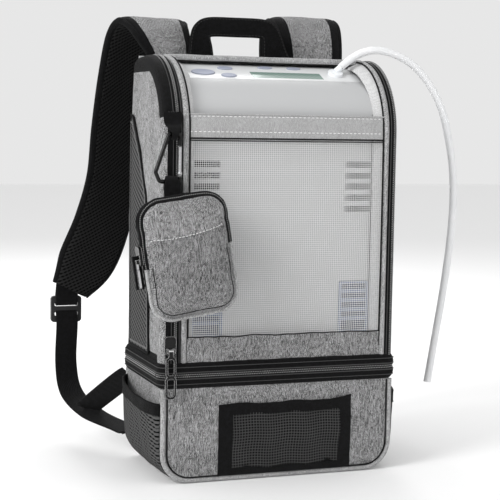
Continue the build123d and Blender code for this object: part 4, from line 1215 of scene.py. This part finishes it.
def shoulder_strap(label, stations, binding):
    """A padded strap: heather outside, black spacer mesh inside, edges bound some ribs wide."""
    line = smooth_path(stations, 110)
    path, across, out = strap_frame(line)
    width = line[:, 4] * MM
    ribs = np.linspace(-1, 1, 25)
    crown = np.clip(1 - np.abs(ribs) ** 5, 0, 1) ** 0.6
    spread = np.outer(width / 2, ribs)
    front = np.stack(np.broadcast_arrays(spread, STRAP_T * (0.16 + 0.42 * crown)), -1)
    back = np.stack(np.broadcast_arrays(spread, -STRAP_T * (0.12 + 0.38 * crown)), -1)
    rows = carry(path, across, out, np.concatenate([front, back[:, ::-1]], 1))
    rows += out[:, None] * ripple(rows, 1.0 * MM, 16 * MM, seed=2)[..., None]
    m = len(ribs)

    def choose(_, j):
        if binding <= j < m - 1 - binding:
            return 0
        return 2 if j < m or j > 2 * m - 3 else 1

    shape = Shape().loft(rows, choose)
    for side in (-1, 1):
        edge = path + across * (side * (width / 2 - 1.0 * MM))[:, None]
        shape.tube(edge, 3.6 * MM, out, sides=10, slot=2, flatten=0.95)
        for face in (1, -1):
            seam = edge - across * side * 3.6 * MM + out * face * 3.3 * MM
            shape.stitches(seam, out * face, 3, length=2.4 * MM, gap=1.6 * MM)
    materials = [HEATHER, BLACK_MESH, BLACK_CLOTH, STITCH_BLACK]
    obj = piece(f"strap_{label}", shape, materials, "upper_pack",
                [f"shoulder_strap_{label}"])


WEBBING_TO_BASE = [  # x, y, z of its middle and turn of its width, for the left strap
    (-162, 192.5, 141, 0), (-162, 188.5, 132, 0), (-162, 188, 122, 0), (-163, 188, 80, 0),
    (-160, 172, 50, -20), (-147, 130, 34, -35), (-124, 77, 27, -35), (-119, 66, 26, -35),
]
WEBBING_TO_BAND = [
    (-151, 141, 37.5, -36), (-148, 131, 43, -38), (-139, 105, 60, -40), (-127, 76, 80, -40),
    (-121, 65, 87, -40),
]
WEBBING_W, WEBBING_T = 25 * MM, 1.8 * MM
LOCKS_X = (-162, 154)  # the two ladder locks, in millimetres


def webbing(label, side):
    """The strap's lower webbing: one leg to the base, one to the band."""
    shape = Shape()
    for line in (WEBBING_TO_BASE, WEBBING_TO_BAND):
        if side > 0:
            line = [(sum(LOCKS_X) - x, y, z, -turn) for x, y, z, turn in line]
        frames = strap_frame(smooth_path(line, 60))
        shape.loft(carry(*frames, flat_section(WEBBING_W, WEBBING_T)))
    obj = piece(f"webbing_{label}", shape, [WEBBING], replaces=["strap_webbing"])
    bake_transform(obj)


def lock_loops():
    """The webbing loops that hold the ladder locks to the straps."""
    shape = Shape()
    line = [(187, 178), (192, 166), (195.5, 155), (194.5, 148.5), (190.5, 149), (188.5, 158),
            (187.5, 172)]
    for lock_x in LOCKS_X:
        path = smooth_path([(lock_x, y, z) for y, z in line], 30) * MM
        normals = np.cross(np.gradient(path, axis=0), (1, 0, 0))
        shape.loft(sweep(path, normals, flat_section(WEBBING_W, 1.5 * MM)))
    piece("lock_loops", shape, [WEBBING], "upper_pack")


# ---------------------------------------------------------------- back panel
def back_pads():
    """Three air-mesh cushions on the back."""
    lo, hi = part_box("back_pad")
    channel, half_gap = 34 * MM, 4 * MM
    spans = {
        "left": (lo.x, -channel - half_gap),
        "middle": (half_gap - channel, channel - half_gap),
        "right": (channel + half_gap, hi.x),
    }
    for label, (left, right) in spans.items():
        rows = []
        for depth, inset in ((0.5, 4), (1, 2), (3.5, 1.5), (6, 3), (7, 7)):
            x, z = rounded_ring((right - left) / 2, lo.z, hi.z, 16 * MM, inset * MM).T
            rows.append(xyz((left + right) / 2 + x, BACK + depth * MM, z))
        pad = piece(f"back_pad_{label}", Shape().loft(rows), [BLACK_MESH])
        inflate(pad, 5 * MM, 3 * MM, pressure=3.0)
        paint(pad, [BLACK_MESH], lambda middle: 0)
        for vertex in pad.data.vertices:
            vertex.co.y = max(vertex.co.y, BACK - 1 * MM)
        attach(pad, "upper_pack")
        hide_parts("back_pad")


def back_pad_base():
    """The sheet behind the cushions and the binding round it."""
    lo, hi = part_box("back_pad")
    middle_z = 0.258
    x, z = rounded_ring(hi.x + 3 * MM, lo.z - 3 * MM, hi.z + 3 * MM, 20 * MM).T
    shape = Shape().tube(xyz(x, BACK + 0.6 * MM, z), 2.2 * MM, (0, 1, 0), closed=True)
    sheet = np.array([
        xyz(x * f, BACK + 0.5 * MM, (z - middle_z) * f + middle_z) for f in (0.02, 0.5, 0.99)
    ])
    shape.loft(np.concatenate([sheet, sheet[::-1] - (0, 0.9 * MM, 0)]))
    piece("back_pad_base", shape, [BLACK_CLOTH], "upper_pack")


# ---------------------------------------------------------------- the concentrator's grilles
def exhaust_louvres():
    """The two exhaust grilles: a pale rim and slanted blades over a recess sheet painted dark as
    shade.
    """
    lo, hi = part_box("exhaust_grilles")
    width, rim, blade, slant = 34 * MM, 3 * MM, 1.8 * MM, 2 * MM
    front, back = lo.y + 0.4 * MM, hi.y - 1.4 * MM
    shape = Shape()
    for middle in (lo.x + width / 2, hi.x - width / 2):
        rings = []
        for y, inset in ((lo.y, 0.5 * MM), (hi.y, 0.5 * MM), (hi.y, rim), (lo.y, rim)):
            x, z = rounded_ring(width / 2, lo.z, hi.z, 3 * MM, inset).T
            rings.append(xyz(middle + x, y, z))
        shape.torus(rings)
        ends = middle + (width / 2 - rim) * np.array([-1, 1])
        for z in np.linspace(lo.z + rim, hi.z - rim, 6)[1:-1]:
            ring = [(front, z), (front, z + blade), (back, z + blade + slant), (back, z + slant)]
            shape.loft([xyz(x, *np.array(ring).T) for x in ends])
        recess = xyz(ends, back, np.array([[lo.z + rim], [hi.z - rim]]))
        shape.panel(recess, recess + (0, 0.6 * MM, 0), 1)
    pale = moulded("grille_plastic", (0.20, 0.24, 0.35), 0.5)
    # Painted shade: a darker copy of the grille plastic on the sheet behind the blades, standing in
    # for the shaded depth of the vents.
    dark = moulded("grille_recess_painted_shade", (0.05, 0.065, 0.11), 0.6)
    piece("exhaust_louvres", shape, [pale, dark], "upper_pack", ["exhaust_grilles"])


# ---------------------------------------------------------------- oxygen tube
TUBE_ROUTE = [
    (0.0855, -0.0071, 0.4183), (0.099, -0.008, 0.430), (0.119, -0.009, 0.4375),
    (0.137, -0.010, 0.4365), (0.160, -0.011, 0.4285), (0.177, -0.012, 0.4155),
    (0.1915, -0.013, 0.398), (0.204, -0.014, 0.374), (0.2115, -0.015, 0.344),
    (0.217, -0.016, 0.314), (0.2185, -0.017, 0.277), (0.215, -0.018, 0.230),
    (0.208, -0.019, 0.180), (0.199, -0.020, 0.129), (0.191, -0.020, 0.080),
]
TUBE_OD, TUBE_ID, TUBE_LENGTH = 8 * MM, 5 * MM, 0.4495


def spline_points(route):
    """Points of the NURBS curve whose control points are the route."""
    curve = bpy.data.curves.new("tube_guide", "CURVE")
    curve.dimensions = "3D"
    curve.resolution_u = 24
    spline = curve.splines.new("NURBS")
    spline.points.add(len(route) - 1)
    for point, place in zip(spline.points, route):
        point.co = (*place, 1)
    spline.order_u = 3
    spline.use_endpoint_u = True
    guide = add_object("tube_guide", curve)
    bpy.context.view_layer.update()
    mesh = bpy.data.meshes.new_from_object(guide)
    points = np.array([v.co for v in mesh.vertices])
    bpy.data.objects.remove(guide)
    bpy.data.meshes.remove(mesh)
    return points


def clear_plastic():
    """Soft clear tubing, a little cloudy."""
    plastic = Finish("clear_tubing", (0.95, 0.96, 0.97), 0.35, Transmission_Weight=0.25, IOR=1.4)
    haze = plastic.fit(plastic.noise(60), 0.3, 0.7)
    plastic.tint(haze, (0.93, 0.94, 0.95), (0.98, 0.98, 0.99))
    return plastic.material


def oxygen_tube():
    """The clear tube, a hollow wall round its bore, hanging from the outlet."""
    path = spline_points(TUBE_ROUTE)
    outside, bore = (sweep(path, (0, 1, 0), circle(d / 2, 20)) for d in (TUBE_OD, TUBE_ID))
    shape = Shape().torus(np.concatenate([outside, bore[::-1]]))
    tube = piece("clear_tube", shape, [clear_plastic()], "upper_pack",
                 ["oxygen_tube"])


def lcd_glass():
    """The screen: green glass with plain bars."""
    glass = Finish("lcd_glass", (0.16, 0.25, 0.21), 0.12, Coat_Weight=0.5)
    bars = glass.fit(glass.wave(6 * MM, 1.0), 0.2, 0.5)
    glass.tint(bars, (0.17, 0.27, 0.23), (0.13, 0.21, 0.18))
    return glass.material


# ---------------------------------------------------------------- the CAD parts' finishes
def cad_finishes():
    """Materials of the CAD parts that stay as they are."""
    finishes = {
        moulded("case_plastic", (0.47, 0.475, 0.48), 0.42, grain=0.2):
            "device_front_shell device_rear_shell",
        lcd_glass(): "lcd_module",
        painted_metal("black_zinc", 0.003, 0.2):
            "main_zip_slider main_zip_pull lower_zip_slider lower_zip_pull carabiner "
            "pouch_zip_slider",
        metal("cast_aluminium", (0.62, 0.63, 0.64), 0.45):
            "compressor_body compressor_cap sieve_columns valve_manifold accumulator_tank",
        knit_mesh("filter_foam", 0.5, 0.2, 3 * MM): "intake_filter",
        moulded("panel_plastic", (0.72, 0.73, 0.735), 0.22, grain=0.05): "control_panel",
        moulded("button_plastic", (0.33, 0.355, 0.44), 0.4):
            "power_button flow_up_button flow_down_button alarm_button backlight_button",
        moulded("nozzle_plastic", (0.84, 0.86, 0.88), 0.3): "outlet_nozzle outlet_filter",
        metal("bright_steel", (0.5, 0.5, 0.51), 0.28):
            "carabiner_gate pouch_zip_pull compressor_rotor case_screws",
        moulded("lock_plastic", grey(0.014), 0.35): "ladder_locks",
        moulded("fan_plastic", grey(0.02), 0.45): "fan_frame fan_rotor",
        moulded("board_plastic", grey(0.05), 0.7): "base_board frame_sheet",
        moulded("battery_plastic", grey(0.12), 0.5): "battery_pack",
        moulded("foot_rubber", grey(0.02), 0.8): "rubber_feet",
        moulded("hose_silicone", (0.6, 0.6, 0.58), 0.5): "air_hose",
        circuit_board("circuit_board"): "main_pcb control_pcb",
    }
    for material, nodes in finishes.items():
        for node in nodes.split():
            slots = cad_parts[node].data.materials
            if not len(slots):
                slots.append(material)
            for i in range(len(slots)):
                slots[i] = material


# ---------------------------------------------------------------- studio
def camera():
    """The photograph's viewpoint."""
    turn, tip, roll = radians(20.2), radians(5.31), radians(-0.97)
    back = Vector((-sin(turn) * cos(tip), -cos(turn) * cos(tip), sin(tip)))
    right = Vector((cos(turn), -sin(turn), 0))
    up = back.cross(right)
    rolled_right = right * cos(roll) - up * sin(roll)
    rolled_up = right * sin(roll) + up * cos(roll)
    data = bpy.data.cameras.new("camera")
    data.lens, data.sensor_width = 101.2, 36
    obj = add_object("camera", data)
    axes = Matrix((rolled_right, rolled_up, back)).transposed().to_4x4()
    obj.matrix_world = Matrix.Translation((-0.5161, -1.3750, 0.3621)) @ axes
    bpy.context.scene.camera = obj


def area_light(name, place, size, power):
    """A round lamp that looks at the middle of the bag."""
    data = bpy.data.lights.new(name, "AREA")
    data.shape, data.size, data.energy = "DISK", size, power
    obj = add_object(name, data)
    obj.location = place
    aim = Vector((0, 0, 0.22)) - obj.location
    obj.rotation_euler = aim.to_track_quat("-Z", "Y").to_euler()


def studio():
    """White room, three large lamps and a pale floor."""
    scene = bpy.context.scene
    scene.view_settings.view_transform = "Standard"
    world = bpy.data.worlds.new("room")
    world.use_nodes = True
    background = world.node_tree.nodes["Background"].inputs
    background["Color"].default_value = (1, 1, 1, 1)
    background["Strength"].default_value = 0.8
    scene.world = world
    area_light("key", (-2.2, -0.9, 1.5), 1.2, 44)
    area_light("fill", (1.2, -2.0, 1.0), 1.6, 4)
    area_light("rim", (0.3, 1.6, 1.5), 1.2, 14)
    reach = np.linspace(-6, 6, 3)
    shape = Shape().grid(xyz(reach, reach[:, None], -0.3 * MM))
    floor = piece("studio_floor", shape, [Finish("floor_paint", grey(0.92), 0.8).material])


SIDES = {"left": -1, "right": 1}

camera()
studio()
oxygen_tube()

lower_bag()
lower_piping()
zip_band("lower_zip_band", "lower_pack", "lower_zip_tape", BAND_MID - 0.1 * MM, BAND_LOW - 1 * MM)
zip_band("upper_zip_band", "upper_pack", "upper_zip_tape", BAND_MID + 0.5 * MM, BAND_TOP + 1 * MM)
pocket_border()
pocket_net()
for label, side in SIDES.items():
    bottle_pocket(label, side)

upper_walls()
upper_floor()
top_panel()
for label, side in SIDES.items():
    side_vent(label, side)
main_tape()

flap_rim()
flap_bottom_panel()
flap_hem()
side_facings()
window_net()

webbing_loop("pouch_tab_webbing", TAB_LINE, -117.6 * MM, "front_flap", "pouch_tab")
webbing_loop("pouch_loop_webbing", LOOP_LINE, -120.5 * MM, "pouch", "pouch_loop")
pouch_trim(pouch_bag())
handle()
shoulder_strap("left", LEFT_STRAP, 3)
shoulder_strap("right", RIGHT_STRAP, 4)
for label, side in SIDES.items():
    webbing(label, side)
lock_loops()
back_pads()
back_pad_base()
exhaust_louvres()
cad_finishes()
